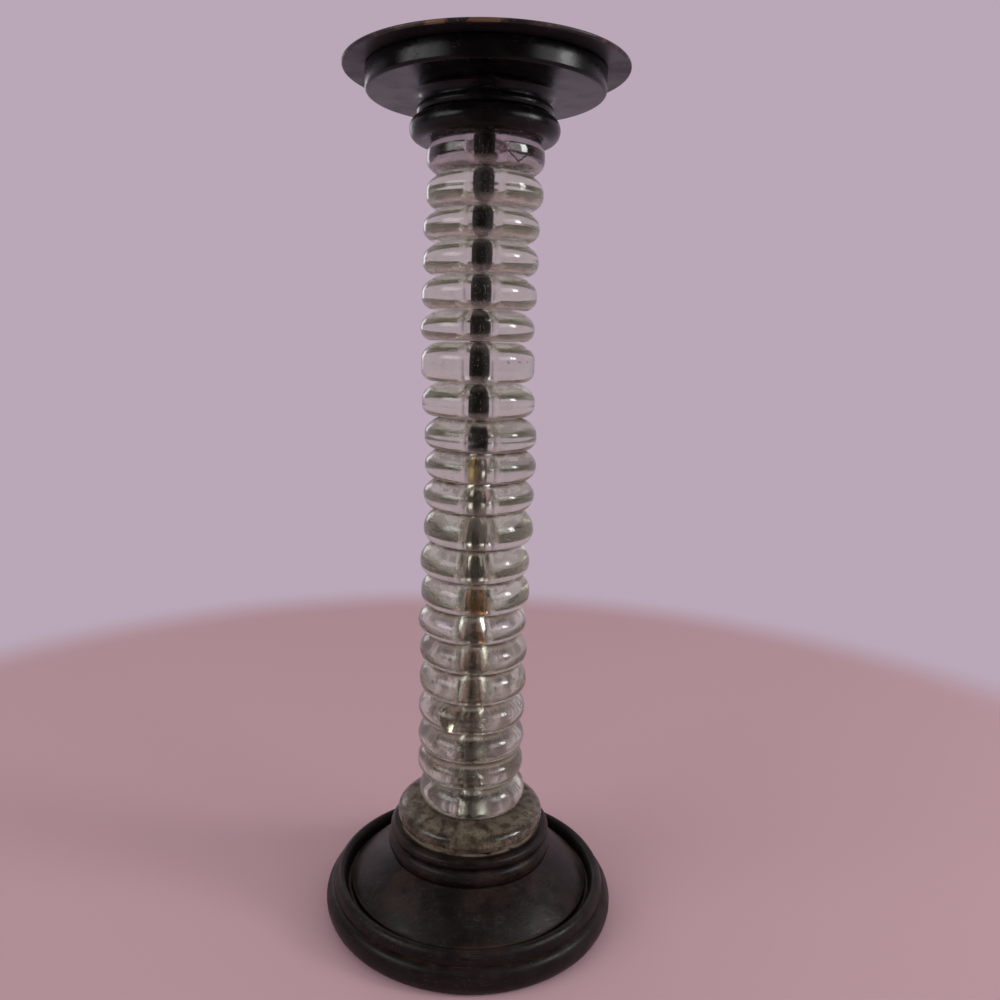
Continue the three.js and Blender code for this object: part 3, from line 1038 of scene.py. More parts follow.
class NodeTrees:
    """Geometry Nodes trees of the pieces that repeat."""

    weld: float = 1e-6
    wave_detail: float = 1.5
    seat_reach: tuple[float, float] = (0.8 * MM, 1.6 * MM)
    seat_height: tuple[float, float] = (0.3 * MM, 0.9 * MM)
    ridge_sides: int = 4

    @staticmethod
    def _begin(name: str, numbers: Sequence[str], counts: Sequence[str], switches: Sequence[str] = ()
               ) -> tuple[Graph, dict[str, Socket], Socket]:
        """Starts a tree.

        Args:
            name: The tree's name.
            numbers: Names of its sizes.
            counts: Names of its whole numbers.
            switches: Names of its choices between yes and no.

        Returns:
            The graph, the inputs by name, and the socket that takes the finished shape.
        """
        tree = bpy.data.node_groups.new(name, "GeometryNodeTree")
        tree.interface.new_socket("Geometry", in_out="INPUT", socket_type="NodeSocketGeometry")
        kinds = [(numbers, "NodeSocketFloat"), (counts, "NodeSocketInt"), (switches, "NodeSocketBool"),
                 (("Foot Point",), "NodeSocketVector"), (("Finish",), "NodeSocketMaterial")]
        for names, kind in kinds:
            for label in names:
                tree.interface.new_socket(label, in_out="INPUT", socket_type=kind)
        tree.interface.new_socket("Geometry", in_out="OUTPUT", socket_type="NodeSocketGeometry")
        graph = Graph(tree)
        inlet = graph.add("NodeGroupInput")
        outlet = graph.add("NodeGroupOutput")
        return graph, {socket.name: socket for socket in inlet.outputs if socket.name}, outlet.inputs[0]

    @staticmethod
    def _end(graph: Graph, shape: Socket, inputs: dict[str, Socket], outlet: Socket) -> bpy.types.NodeTree:
        """Moves the shape to its foot point, dresses it and closes the tree.

        Args:
            graph: The tree's graph.
            shape: The shape at the origin.
            inputs: The tree's inputs.
            outlet: The socket that takes the finished shape.

        Returns:
            The tree.
        """
        moved = graph.add("GeometryNodeTransform", {"Geometry": shape, "Translation": inputs["Foot Point"]})
        smooth = graph.add("GeometryNodeSetShadeSmooth", {"Geometry": moved.outputs[0]})
        whole = graph.add("GeometryNodeRealizeInstances", {"Geometry": smooth.outputs[0]})
        feeds = {"Geometry": whole.outputs[0], "Material": inputs["Finish"]}
        graph.feed(outlet, graph.add("GeometryNodeSetMaterial", feeds).outputs[0])
        return graph.tree

    @classmethod
    def ring(cls) -> bpy.types.NodeTree:
        """Builds the tree of a ring with flat faces, a wide crown above its widest line and a heel below it.

        Returns:
            The tree.
        """
        graph, inputs, outlet = cls._begin(
            "pressed ring",
            ("Diameter", "Bore", "Thickness", "Crown Depth", "Crown Rise", "Crown Round", "Crown Flat",
             "Heel Depth", "Heel Height", "Bore Round", "Wave Depth", "Wave Scale", "Seed"),
            ("Sides", "Arc Steps", "Face Steps"),
            ("Upside Down",),
        )
        bore = graph.math("MULTIPLY", inputs["Bore"], 0.5)
        reach = graph.math("SUBTRACT", graph.math("MULTIPLY", inputs["Diameter"], 0.5), bore)
        crown_start = graph.math("SUBTRACT", reach, inputs["Crown Depth"])
        heel_start = graph.math("SUBTRACT", reach, inputs["Heel Depth"])
        crown_foot = graph.math("SUBTRACT", inputs["Thickness"], inputs["Crown Rise"])
        rounding = inputs["Bore Round"]
        upper_round = graph.math("SUBTRACT", inputs["Thickness"], rounding)
        join = graph.add("GeometryNodeJoinGeometry")

        def corner(turns: float, depth: Socket, rise: Socket, x: Socket, y: Socket) -> None:
            """Adds a quarter of an ellipse.

            Args:
                turns: Right angles after which it starts.
                depth: Its half width.
                rise: Its half height.
                x: Its centre, out from the bore.
                y: Its centre, up from the lower face.
            """
            feeds = {"Resolution": inputs["Arc Steps"], "Radius": 1.0, "Start Angle": turns * math.pi / 2,
                     "Sweep Angle": math.pi / 2}
            quarter = graph.add("GeometryNodeCurveArc", feeds, mode="RADIUS")
            feeds = {"Geometry": quarter.outputs[0], "Translation": graph.joined(x, y),
                     "Scale": graph.joined(depth, rise, 1.0)}
            graph.feed(join.inputs[0], graph.add("GeometryNodeTransform", feeds).outputs[0])

        def face(start: Socket, end: Socket) -> None:
            """Adds a straight run in short pieces.

            Args:
                start: Where it starts.
                end: Where it ends.
            """
            run = graph.add("GeometryNodeCurvePrimitiveLine", {"Start": start, "End": end}, mode="POINTS")
            feeds = {"Curve": run.outputs[0], "Cuts": inputs["Face Steps"]}
            graph.feed(join.inputs[0], graph.add("GeometryNodeSubdivideCurve", feeds).outputs[0])

        corner(3, inputs["Heel Depth"], inputs["Heel Height"], heel_start, inputs["Heel Height"])
        lower_handle = graph.math("MULTIPLY", inputs["Crown Rise"], inputs["Crown Round"])
        upper_handle = graph.math("MULTIPLY", inputs["Crown Depth"], inputs["Crown Flat"])
        lower_pull = graph.joined(reach, graph.math("ADD", crown_foot, lower_handle))
        upper_pull = graph.joined(graph.math("ADD", crown_start, upper_handle), inputs["Thickness"])
        feeds = {"Resolution": inputs["Arc Steps"], "Start": graph.joined(reach, crown_foot),
                 "Start Handle": lower_pull, "End Handle": upper_pull,
                 "End": graph.joined(crown_start, inputs["Thickness"])}
        crown = graph.add("GeometryNodeCurvePrimitiveBezierSegment", feeds, mode="POSITION")
        graph.feed(join.inputs[0], crown.outputs[0])
        face(graph.joined(reach, inputs["Heel Height"]), graph.joined(reach, crown_foot))
        corner(1, rounding, rounding, rounding, upper_round)
        corner(2, rounding, rounding, rounding, rounding)
        face(graph.joined(crown_start, inputs["Thickness"]), graph.joined(rounding, inputs["Thickness"]))
        face(graph.joined(0.0, upper_round), graph.joined(0.0, rounding))
        face(graph.joined(rounding, 0.0), graph.joined(heel_start, 0.0))
        wire = graph.add("GeometryNodeCurveToMesh", {"Curve": join.outputs[0]})
        merged = graph.add("GeometryNodeMergeByDistance", {"Geometry": wire.outputs[0], "Distance": cls.weld})
        loop = graph.add("GeometryNodeMeshToCurve", {"Mesh": merged.outputs[0]})
        section = graph.add("GeometryNodeTransform", {"Geometry": loop.outputs[0], "Scale": (1.0, -1.0, 1.0)})
        rail = graph.add("GeometryNodeCurvePrimitiveCircle", {"Resolution": inputs["Sides"], "Radius": bore},
                         mode="RADIUS")
        upright = graph.add("GeometryNodeSetCurveNormal", {"Curve": rail.outputs[0]}, mode="Z_UP")
        swept = graph.add("GeometryNodeCurveToMesh",
                          {"Curve": upright.outputs[0], "Profile Curve": section.outputs[0]})
        over = graph.add("GeometryNodeTransform",
                         {"Geometry": swept.outputs[0], "Scale": (1.0, 1.0, -1.0),
                          "Translation": graph.joined(0.0, 0.0, inputs["Thickness"])})
        turned = graph.add("GeometryNodeFlipFaces", {"Mesh": over.outputs[0]})
        chosen = graph.add("GeometryNodeSwitch", {"Switch": inputs["Upside Down"], "False": swept.outputs[0],
                                                  "True": turned.outputs[0]}, input_type="GEOMETRY")
        feeds = {"Vector": graph.add("GeometryNodeInputPosition").outputs[0], "W": inputs["Seed"],
                 "Scale": inputs["Wave Scale"], "Detail": cls.wave_detail}
        swell = graph.add("ShaderNodeTexNoise", feeds, noise_dimensions="4D").outputs[0]
        depth = graph.math("MULTIPLY", graph.math("SUBTRACT", swell, 0.5), inputs["Wave Depth"])
        normal = graph.add("GeometryNodeInputNormal").outputs[0]
        upright_share = graph.math("SUBTRACT", 1.0, graph.math("ABSOLUTE", graph.parts(normal)[2]))
        feeds = {0: normal, "Scale": graph.math("MULTIPLY", depth, upright_share)}
        push = graph.add("ShaderNodeVectorMath", feeds, operation="SCALE").outputs[0]
        waved = graph.add("GeometryNodeSetPosition", {"Geometry": chosen.outputs[0], "Offset": push})
        x, y, z = graph.parts(graph.add("GeometryNodeInputPosition").outputs[0])
        # The seat mask marks the bore's lower corner, which the glass darkens as painted shade.
        inside = graph.ramp(graph.math("SUBTRACT", graph.from_axis(x, y), bore), *cls.seat_reach, 1.0, 0.0)
        seat = graph.math("MULTIPLY", graph.ramp(z, *cls.seat_height, 1.0, 0.0), inside)
        shape = waved.outputs[0]
        for name, value in (("upward", graph.parts(normal)[2]), ("seat", seat)):
            feeds = {"Geometry": shape, "Name": name, "Value": value}
            stored = graph.add("GeometryNodeStoreNamedAttribute", feeds, data_type="FLOAT", domain="POINT")
            shape = stored.outputs[0]
        return cls._end(graph, shape, inputs, outlet)

    @classmethod
    def thread(cls) -> bpy.types.NodeTree:
        """Builds the tree of a screw thread: a ridge that climbs round the rod.

        Returns:
            The tree.
        """
        graph, inputs, outlet = cls._begin("screw thread", ("Radius", "Ridge", "Pitch", "Length"), ("Steps",))
        turns = graph.math("DIVIDE", inputs["Length"], inputs["Pitch"])
        feeds = {"Resolution": inputs["Steps"], "Rotations": turns, "Start Radius": inputs["Radius"],
                 "End Radius": inputs["Radius"], "Height": inputs["Length"]}
        climb = graph.add("GeometryNodeCurveSpiral", feeds)
        upright = graph.add("GeometryNodeSetCurveNormal", {"Curve": climb.outputs[0]}, mode="Z_UP")
        feeds = {"Resolution": cls.ridge_sides, "Radius": inputs["Ridge"]}
        ridge = graph.add("GeometryNodeCurvePrimitiveCircle", feeds, mode="RADIUS")
        feeds = {"Curve": upright.outputs[0], "Profile Curve": ridge.outputs[0], "Fill Caps": True}
        swept = graph.add("GeometryNodeCurveToMesh", feeds)
        return cls._end(graph, swept.outputs[0], inputs, outlet)


@dataclass
class Foot:
    """The turned wooden foot."""

    diameter: float = 121.2 * MM
    rim_bead_height: float = 10.6 * MM
    rim_bead_depth: float = 3.3 * MM
    upper_bead_width: float = 5.6 * MM
    upper_bead_height: float = 5.2 * MM
    groove_width: float = 1.7 * MM
    groove_depth: float = 2.6 * MM
    slope_edge_rise: float = 2.2 * MM
    slope_rise: float = 13.2 * MM
    slope_bulge: float = 0.8 * MM
    slope_ledge: float = 1.8 * MM
    collar_diameter: float = 62.8 * MM
    large_bead_height: float = 7.2 * MM
    large_bead_depth: float = 3.0 * MM
    small_bead_height: float = 4.4 * MM
    small_bead_depth: float = 2.0 * MM
    recess_diameter: float = 40.0 * MM
    recess_depth: float = 13.2 * MM
    rod_hole: float = 8.8 * MM
    worn_edge: float = 0.5 * MM
    under_edge: float = 1.0 * MM
    sides: int = 320
    finish: Finish = TurnedWood("waxed dark wood", residue_from=37.4 * MM, dark_from=51.0 * MM)

    def outline(self) -> Outline:
        """Draws the foot's outline.

        Returns:
            The closed outline.
        """
        root = self.diameter / 2 - self.rim_bead_depth
        half = self.upper_bead_width / 2
        slope_edge = root - self.upper_bead_width - self.groove_width
        slope_low = self.rim_bead_height + self.slope_edge_rise
        slope_high = slope_low + self.slope_rise
        groove_floor = slope_low - self.groove_depth
        collar = self.collar_diameter / 2
        slope_top = collar + self.slope_ledge
        edge = self.worn_edge
        small_bottom = slope_high + self.large_bead_height
        height = small_bottom + self.small_bead_height
        bore = self.rod_hole / 2
        recess = self.recess_diameter / 2
        pull = ((slope_edge + slope_top) / 2 + self.slope_bulge,
                (slope_low + slope_high) / 2 + self.slope_bulge)
        return (
            Outline(recess + edge, 0.0)
            .line(root - self.under_edge, 0.0, 8)
            .bead(root, 0.0, self.rim_bead_height, self.rim_bead_depth, 26)
            .arc((root - half, self.rim_bead_height), half, self.upper_bead_height, (0.0, 180.0), 26)
            .line(slope_edge + self.groove_width, groove_floor + edge, 2)
            .arc((slope_edge + self.groove_width / 2, groove_floor + edge), self.groove_width / 2, edge,
                 (0.0, -180.0), 8)
            .line(slope_edge, slope_low - edge, 3)
            .arc((slope_edge - edge, slope_low - edge), edge, edge, (0.0, 70.0), 4)
            .bow(pull, (slope_top + edge, slope_high - edge / 2), 26)
            .arc((slope_top, slope_high - edge), edge, edge, (45.0, 90.0), 3)
            .line(collar, slope_high, 2)
            .bead(collar, slope_high, self.large_bead_height, self.large_bead_depth, 22)
            .bead(collar, small_bottom, self.small_bead_height, self.small_bead_depth, 16)
            .line(bore + edge, height, 6)
            .arc((bore + edge, height - edge), edge, edge, (90.0, 180.0), 3)
            .line(bore, self.recess_depth, 8)
            .line(recess, self.recess_depth, 6)
            .line(recess, edge, 6)
            .arc((recess + edge, edge), edge, edge, (180.0, 270.0), 3)
        )

    def build(self) -> None:
        """Turns the foot and dresses it."""
        piece = Workshop.turned("turned_foot", self.outline(), self.sides)
        Workshop.creased(piece, TURNED_CREASE)
        Workshop.hand_over(piece, STAND, Slot.DARK_WOOD, self.finish, ["foot"])


@dataclass
class CandleCup:
    """The turned wooden cup under the pan."""

    bottom: float = 309.5 * MM
    neck_diameter: float = 47.4 * MM
    large_bead_height: float = 8.8 * MM
    large_bead_depth: float = 4.25 * MM
    small_bead_height: float = 3.8 * MM
    small_bead_depth: float = 1.55 * MM
    cove_height: float = 3.9 * MM
    cove_depth: float = 2.8 * MM
    disc_diameter: float = 88.2 * MM
    disc_thickness: float = 7.6 * MM
    lower_round: float = 1.2 * MM
    upper_round: float = 0.6 * MM
    well_radius: float = 15.2 * MM
    well_depth: float = 11.9 * MM
    mouth_round: float = 1.7 * MM
    under_edge: float = 0.5 * MM
    rod_hole: float = 8.8 * MM
    sides: int = 256
    finish: Finish = TurnedWood(
        "lacquered black wood",
        ground=(0.0022, 0.0021, 0.0019, 1.0),
        streak=(0.0034, 0.0031, 0.0028, 1.0),
        worn=(0.007, 0.0056, 0.0048, 1.0),
        rooted=(0.004, 0.0034, 0.003, 1.0),
        dust=(0.1, 0.09, 0.085, 1.0),
        roughness=0.19,
        specular=0.2,
        wear=0.2,
        dust_amount=0.03,
        specks=0.06,
        grain_depth=0.02 * MM,
    )

    def outline(self) -> Outline:
        """Draws the cup's outline.

        Returns:
            The closed outline.
        """
        neck = self.neck_diameter / 2
        edge = self.disc_diameter / 2
        bore = self.rod_hole / 2
        small_bottom = self.bottom + self.large_bead_height
        cove_bottom = small_bottom + self.small_bead_height
        disc_bottom = cove_bottom + self.cove_height
        top = disc_bottom + self.disc_thickness
        mouth, lower, upper = self.mouth_round, self.lower_round, self.upper_round
        return (
            Outline(bore, self.bottom)
            .line(neck - self.under_edge, self.bottom, 8)
            .bead(neck, self.bottom, self.large_bead_height, self.large_bead_depth, 30)
            .bead(neck, small_bottom, self.small_bead_height, self.small_bead_depth, 20)
            .arc((neck + self.cove_depth, cove_bottom), self.cove_depth, self.cove_height, (180.0, 90.0), 14)
            .line(edge - lower, disc_bottom, 12)
            .arc((edge - lower, disc_bottom + lower), lower, lower, (-90.0, 0.0), 14)
            .line(edge, top - upper, 3)
            .arc((edge - upper, top - upper), upper, upper, (0.0, 90.0), 12)
            .line(self.well_radius + mouth, top, 10)
            .arc((self.well_radius + mouth, top - mouth), mouth, mouth, (90.0, 180.0), 6)
            .line(self.well_radius, top - self.well_depth, 6)
            .line(bore, top - self.well_depth, 4)
            .line(bore, self.bottom, 6)
        )

    def build(self) -> None:
        """Turns the cup and dresses it."""
        piece = Workshop.turned("turned_cup", self.outline(), self.sides)
        Workshop.creased(piece, TURNED_CREASE)
        Workshop.hand_over(piece, STAND, Slot.BLACK_WOOD, self.finish, ["candle_cup"])


@dataclass
class DripPan:
    """The drip pan of pressed sheet."""

    level: float = 333.9 * MM
    diameter: float = 104.8 * MM
    sheet: float = 0.9 * MM
    lip_rise: float = 0.5 * MM
    lip_slope: float = 1.5 * MM
    lip_start: float = 0.5 * MM
    well_diameter: float = 28.0 * MM
    well_depth: float = 11.0 * MM
    corner: float = 2.0 * MM
    rod_hole: float = 8.8 * MM
    crest_width: float = 0.8 * MM
    sides: int = 384
    finish: Finish = PaintedSheet(
        "chipped black paint",
        chips=(
            Spot((-15.4 * MM, -50.1 * MM, 334.6 * MM), (4.6 * MM, 4.0 * MM, 2.0 * MM)),
            Spot((-1.0 * MM, -52.4 * MM, 334.6 * MM), (5.8 * MM, 4.0 * MM, 2.0 * MM)),
        ),
    )

    def outline(self) -> Outline:
        """Draws the pan's outline.

        Returns:
            The closed outline.
        """
        half = (self.sheet + self.lip_rise) / 2
        rim = self.diameter / 2 - half
        well = self.well_diameter / 2
        floor = self.level + self.sheet - self.well_depth
        outer = self.corner + self.sheet
        low = (well - self.corner, floor + self.corner)
        high = (well + outer, self.level - self.corner)
        bore = self.rod_hole / 2
        return (
            Outline(bore, floor - self.sheet)
            .arc(low, outer, outer, (-90.0, 0.0), 8)
            .arc(high, self.corner, self.corner, (180.0, 90.0), 8)
            .line(rim - self.lip_start, self.level, 18)
            .arc((rim, self.level + half), half, half, (-90.0, 90.0), 12)
            .line(rim - self.lip_slope, self.level + self.sheet, 3)
            .line(high[0], self.level + self.sheet, 16)
            .arc(high, outer, outer, (90.0, 180.0), 8)
            .arc(low, self.corner, self.corner, (0.0, -90.0), 8)
            .line(bore, floor, 3)
        )

    def build(self) -> None:
        """Turns the pan and dresses it."""
        piece = Workshop.turned("pressed_pan", self.outline(), self.sides, self.crest_width)
        Workshop.creased(piece, TURNED_CREASE)
        Workshop.hand_over(piece, STAND, Slot.BLACK_SHEET, self.finish, ["drip_pan"])


@dataclass
class GlassColumn:
    """The wide base ring and the stack of rings on it."""

    count: int = 21
    bore: float = 11.0 * MM
    diameter: float = 44.0 * MM
    crown_depth: float = 6.6 * MM
    crown_round: float = 0.49
    dome_depth: float = 9.5 * MM
    dome_rise: float = 6.6 * MM
    dome_flat: float = 0.6
    dome_heel: float = 4.3 * MM
    domed_from: int = 13
    top_depth: float = 4.2 * MM
    top_rise: float = 4.4 * MM
    top_round: float = 0.55
    top_heel_depth: float = 2.6 * MM
    top_heel_height: float = 4.2 * MM
    heel_depth: float = 4.6 * MM
    heel_height: float = 5.3 * MM
    belly_height: float = 0.4 * MM
    round_depth: float = 5.8 * MM
    round_share: float = 0.57
    round_rings: tuple[int, ...] = (2, 5, 8)
    base_diameter: float = 60.8 * MM
    base_crown_depth: float = 7.2 * MM
    base_heel_depth: float = 3.5 * MM
    base_crown_round: float = 0.56
    base_heel_height: float = 4.2 * MM
    bore_round: float = 0.6 * MM
    wave_depth: float = 0.2 * MM
    wave_scale: float = 65.0
    seed_step: float = 3.7
    upside_down: int = 21
    sides: int = 128
    arc_steps: int = 13
    face_steps: int = 5
    glass: Finish = RingGlass("clear ring glass")
    # The top ring's greyer tint and strong absorption darken it as painted shade under the cup, not a tint of
    # its own.
    shaded_top_glass: Finish = RingGlass(
        "top ring glass darkened as shade",
        clear=(0.92, 0.89, 0.9, 1.0),
        absorbed=(0.5, 0.45, 0.455, 1.0),
        absorption=34.0,
    )
    # The grimy, stained and soiled rings darken the bore's lower corner as painted shade.
    grimy_glass: Finish = RingGlass("grimy ring glass", dirt_edge=0.54, seat_shade=0.95, crinkle=2.5)
    stained_glass: Finish = RingGlass(
        "stained ring glass",
        dirt_edge=0.54,
        seat_shade=0.95,
        crinkle=3.0,
        stains=(
            Stain((4.8 * MM, -1.6 * MM, 136.5 * MM), (3.0 * MM, 4.6 * MM, 7.0 * MM), (0.62, 0.34, 0.1, 1.0)),
            Stain((4.8 * MM, -1.6 * MM, 125.0 * MM), (3.0 * MM, 4.6 * MM, 6.4 * MM), (0.56, 0.3, 0.1, 1.0)),
        ),
    )
    soiled_glass: Finish = RingGlass(
        "soiled ring glass",
        clear=(0.97, 0.955, 0.915, 1.0),
        dirt=(0.75, 0.7, 0.6, 1.0),
        dirt_edge=0.5,
        dirt_share=0.6,
        haze=0.2,
        flat_haze=0.3,
        flat_dirt=(0.3, 0.24, 0.15, 1.0),
        flat_share=0.7,
        seat_shade=0.95,
        crinkle=4.5,
    )
    base_glass: Finish = RingGlass(
        "dusty base glass",
        clear=(0.82, 0.78, 0.66, 1.0),
        dirt=(0.22, 0.175, 0.11, 1.0),
        dirt_edge=0.49,
        dirt_share=0.85,
        haze=0.25,
        flat_haze=0.35,
        flat_dirt=(0.14, 0.12, 0.095, 1.0),
        flat_share=0.85,
    )
    dust: Finish = DustFilm("dust on the rings")
    # The lower rings' film lays heavy painted shade where rings meet.
    thick_dust: Finish = DustFilm(
        "thick dust on the rings", settled=0.2, smeared=0.06, specks=0.75, grit=0.7, creased=0.85,
    )
    # The base ring's film also lays painted shade in its joints, under the ring above.
    base_dust: Finish = DustFilm(
        "dust on the base ring",
        colour=(0.47, 0.4, 0.285, 1.0),
        dark=(0.055, 0.042, 0.029, 1.0),
        settled=0.75,
        smeared=0.26,
        specks=0.7,
        grit=0.75,
        creased=0.3,
        mottled=0.9,
    )
    dust_from: float = 14.5 * MM
    dust_gap: float = 0.03 * MM
    dust_lowest: float = -0.985
    grimy_up_to: int = 13
    soiled_up_to: int = 6
    stained_rings: tuple[int, ...] = (7, 8)
    tree: bpy.types.NodeTree = field(default_factory=NodeTrees.ring)

    def finish_of(self, number: int) -> Finish:
        """Picks a ring's glass.

        Args:
            number: The ring's number, from the bottom.

        Returns:
            Its finish.
        """
        if number == self.upside_down:
            return self.shaded_top_glass
        if number in self.stained_rings:
            return self.stained_glass
        if number <= self.soiled_up_to:
            return self.soiled_glass
        return self.grimy_glass if number <= self.grimy_up_to else self.glass

    def ring(self, node: str, body: str, seed: float, sizes: dict[str, object], finish: Finish) -> None:
        """Grows one ring in place of its node.

        Args:
            node: The ring's node.
            body: The body that it rides on.
            seed: Picks its waves.
            sizes: The tree's inputs for its outline.
            finish: Its glass.
        """
        low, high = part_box(node)
        thickness = high.z - low.z
        values = {
            "Bore": self.bore,
            "Thickness": thickness,
            "Crown Rise": thickness - sizes["Heel Height"] - self.belly_height,
            "Bore Round": self.bore_round,
            "Wave Depth": self.wave_depth,
            "Wave Scale": self.wave_scale,
            "Seed": seed,
            "Sides": self.sides,
            "Arc Steps": self.arc_steps,
            "Face Steps": self.face_steps,
            "Foot Point": ((low.x + high.x) / 2, (low.y + high.y) / 2, low.z),
            "Finish": finish.material(),
        }
        values |= sizes
        if sizes["Crown Depth"] == self.dome_depth:
            values["Crown Rise"] = min(values["Crown Rise"], self.dome_rise)
        piece = Workshop.grown("pressed_" + node, self.tree, values)
        Workshop.hand_over(piece, body, Slot.CLEAR_GLASS, None, [node])
        films = {self.glass: self.dust, self.shaded_top_glass: self.dust, self.base_glass: self.base_dust}
        self.film(piece, node, body, films.get(finish, self.thick_dust))

    def film(self, ring: bpy.types.Object, node: str, body: str, finish: Finish) -> None:
        """Lays dust, with painted shade in the joints, over the outside of a ring.

        Args:
            ring: The ring.
            node: Its node.
            body: The body that it rides on.
            finish: The dust.
        """
        low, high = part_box(node)
        middle = Vector(((low.x + high.x) / 2, (low.y + high.y) / 2))
        shape = bmesh.new()
        shape.from_mesh(ring.data)
        hidden = [face for face in shape.faces if face.normal.z < self.dust_lowest
                  or (face.calc_center_median().xy - middle).length < self.dust_from]
        bmesh.ops.delete(shape, geom=hidden, context="FACES")
        shape.normal_update()
        for corner in shape.verts:
            corner.co += self.dust_gap * corner.normal
        Workshop.hand_over(Workshop.kept("dust_" + node, shape), body, Slot.CLEAR_GLASS, finish)

    def build(self) -> None:
        """Grows every ring."""
        base = {"Diameter": self.base_diameter, "Crown Depth": self.base_crown_depth,
                "Crown Round": self.base_crown_round, "Crown Flat": self.base_crown_round,
                "Heel Depth": self.base_heel_depth, "Heel Height": self.base_heel_height,
                "Upside Down": False}
        self.ring("base_glass_ring", "base_ring", 0.0, base, self.base_glass)
        for number in range(1, self.count + 1):
            depth, share, flat, heel = self.crown_depth, self.crown_round, self.crown_round, self.heel_height
            if number >= self.domed_from:
                depth, flat, heel = self.dome_depth, self.dome_flat, self.dome_heel
            if number in self.round_rings:
                depth, share, flat = self.round_depth, self.round_share, self.round_share
            sizes = {"Diameter": self.diameter, "Heel Depth": self.heel_depth, "Heel Height": heel,
                     "Crown Depth": depth, "Crown Round": share, "Crown Flat": flat, "Upside Down": False}
            if number == self.upside_down:
                sizes |= {"Heel Depth": self.top_heel_depth, "Heel Height": self.top_heel_height,
                          "Crown Depth": self.top_depth, "Crown Rise": self.top_rise,
                          "Crown Round": self.top_round, "Crown Flat": self.top_round, "Upside Down": True}
            self.ring(f"glass_ring_{number:02d}", f"ring_{number:02d}", self.seed_step * number, sizes,
                      self.finish_of(number))


@dataclass
class Crack:
    """A crack full of dirt that runs across the front of the top ring."""

    node: str = "glass_ring_21"
    body: str = "ring_21"
    corners: tuple[tuple[float, float], ...] = (
        (6.9 * MM, 4.8 * MM), (9.2 * MM, 2.9 * MM), (11.5 * MM, 1.2 * MM), (13.4 * MM, 2.7 * MM),
        (16.6 * MM, 5.0 * MM),
    )
    width: float = 0.6 * MM
    flatness: float = 0.5
    taper: float = 0.4
    jitter: float = 0.22 * MM
    look_from: float = 100.0 * MM
    steps: int = 7
    sides: int = 6
    seed: int = 11
    finish: Finish = CrackedGlass("crack dirt")

    def path(self) -> list[Vector]:
        """Follows the crack over the ring's outside.

        Returns:
            Points on the glass, from one end to the other.
        """
        low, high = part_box(self.node)
        middle = Vector(((low.x + high.x) / 2, (low.y + high.y) / 2, low.z))
        shape = bmesh.new()
        shape.from_mesh(bpy.data.objects["pressed_" + self.node].data)
        surface = BVHTree.FromBMesh(shape)
        shape.free()
        chance = np.random.default_rng(self.seed)
        points: list[Vector] = []
        for (x, z), (next_x, next_z) in zip(self.corners, self.corners[1:]):
            for share in np.linspace(0.0, 1.0, self.steps, endpoint=False):
                aside, above = chance.uniform(-self.jitter, self.jitter, 2)
                start = middle + Vector((x + (next_x - x) * share + aside, -self.look_from,
                                         z + (next_z - z) * share + above))
                points.append(surface.ray_cast(start, Vector((0.0, 1.0, 0.0)))[0])
        return points

    def build(self) -> None:
        """Lays a thin dark thread along the crack, narrower towards its ends."""
        points = self.path()
        rows: list[list[Vector]] = []
        for number, place in enumerate(points):
            ahead = (points[min(number + 1, len(points) - 1)] - points[max(number - 1, 0)]).normalized()
            out = Vector((place.x, place.y, 0.0)).normalized()
            across = ahead.cross(out).normalized()
            reach = self.width / 2 * math.sin(math.pi * (number + 1) / (len(points) + 1)) ** self.taper
            turns = np.linspace(0.0, 2 * math.pi, self.sides, endpoint=False)
            rows.append([place + reach * (math.cos(turn) * across + self.flatness * math.sin(turn) * out)
                         for turn in turns])
        piece = Workshop.skinned("crack_line", rows)
        Workshop.hand_over(piece, self.body, Slot.CLEAR_GLASS, self.finish)


@dataclass
class Bruise:
    """A shell-shaped crack that a blow has left inside one of the lower rings."""

    node: str = "glass_ring_04"
    body: str = "ring_04"
    place: tuple[float, float, float] = (-8.2 * MM, -14.0 * MM, 6.1 * MM)
    half_width: float = 4.6 * MM
    half_height: float = 4.6 * MM
    half_gap: float = 0.12 * MM
    bend: float = -1.0 * MM
    bend_level: float = 0.5
    slant: float = 18.0
    lobes: int = 3
    lobe_depth: float = 0.1
    lobe_turn: float = 0.7
    nicks: int = 8
    nick_depth: float = 0.05
    rings: int = 14
    sides: int = 48
    finish: Finish = SilveryCrack("silvery bruise")

    def ragged(self, reach: float, angle: float) -> float:
        """Makes the shell's edge ragged.

        Args:
            reach: Distance from the shell's middle, 1 at its edge.
            angle: Where round the shell, in radians.

        Returns:
            The ragged distance.
        """
        lobe = self.lobe_depth * reach * math.sin(self.lobes * angle + self.lobe_turn)
        nick = self.nick_depth * reach * math.sin(self.nicks * angle)
        return reach * (1.0 + lobe + nick)

    def build(self) -> None:
        """Builds a thin bent shell with a ragged edge."""
        low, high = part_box(self.node)
        middle = Vector(((low.x + high.x) / 2, (low.y + high.y) / 2, low.z)) + Vector(self.place)
        turn = Matrix.Rotation(math.radians(self.slant), 3, "Z")
        rows: list[list[Vector]] = []
        for share in np.linspace(-1.0, 1.0, 2 * self.rings + 1)[1:-1]:
            reach = 1.0 - abs(share)
            depth = math.copysign(self.half_gap * math.sqrt(1.0 - reach**2), share)
            row: list[Vector] = []
            for angle in np.linspace(0.0, 2 * math.pi, self.sides, endpoint=False):
                edge = self.ragged(reach, angle)
                x, z = edge * math.cos(angle), edge * math.sin(angle)
                curved = depth + self.bend * (x**2 + z**2 - self.bend_level)
                row.append(middle + turn @ Vector((self.half_width * x, curved, self.half_height * z)))
            rows.append(row)
        piece = Workshop.skinned("bruise_shell", rows)
        Workshop.hand_over(piece, self.body, Slot.CLEAR_GLASS, self.finish)


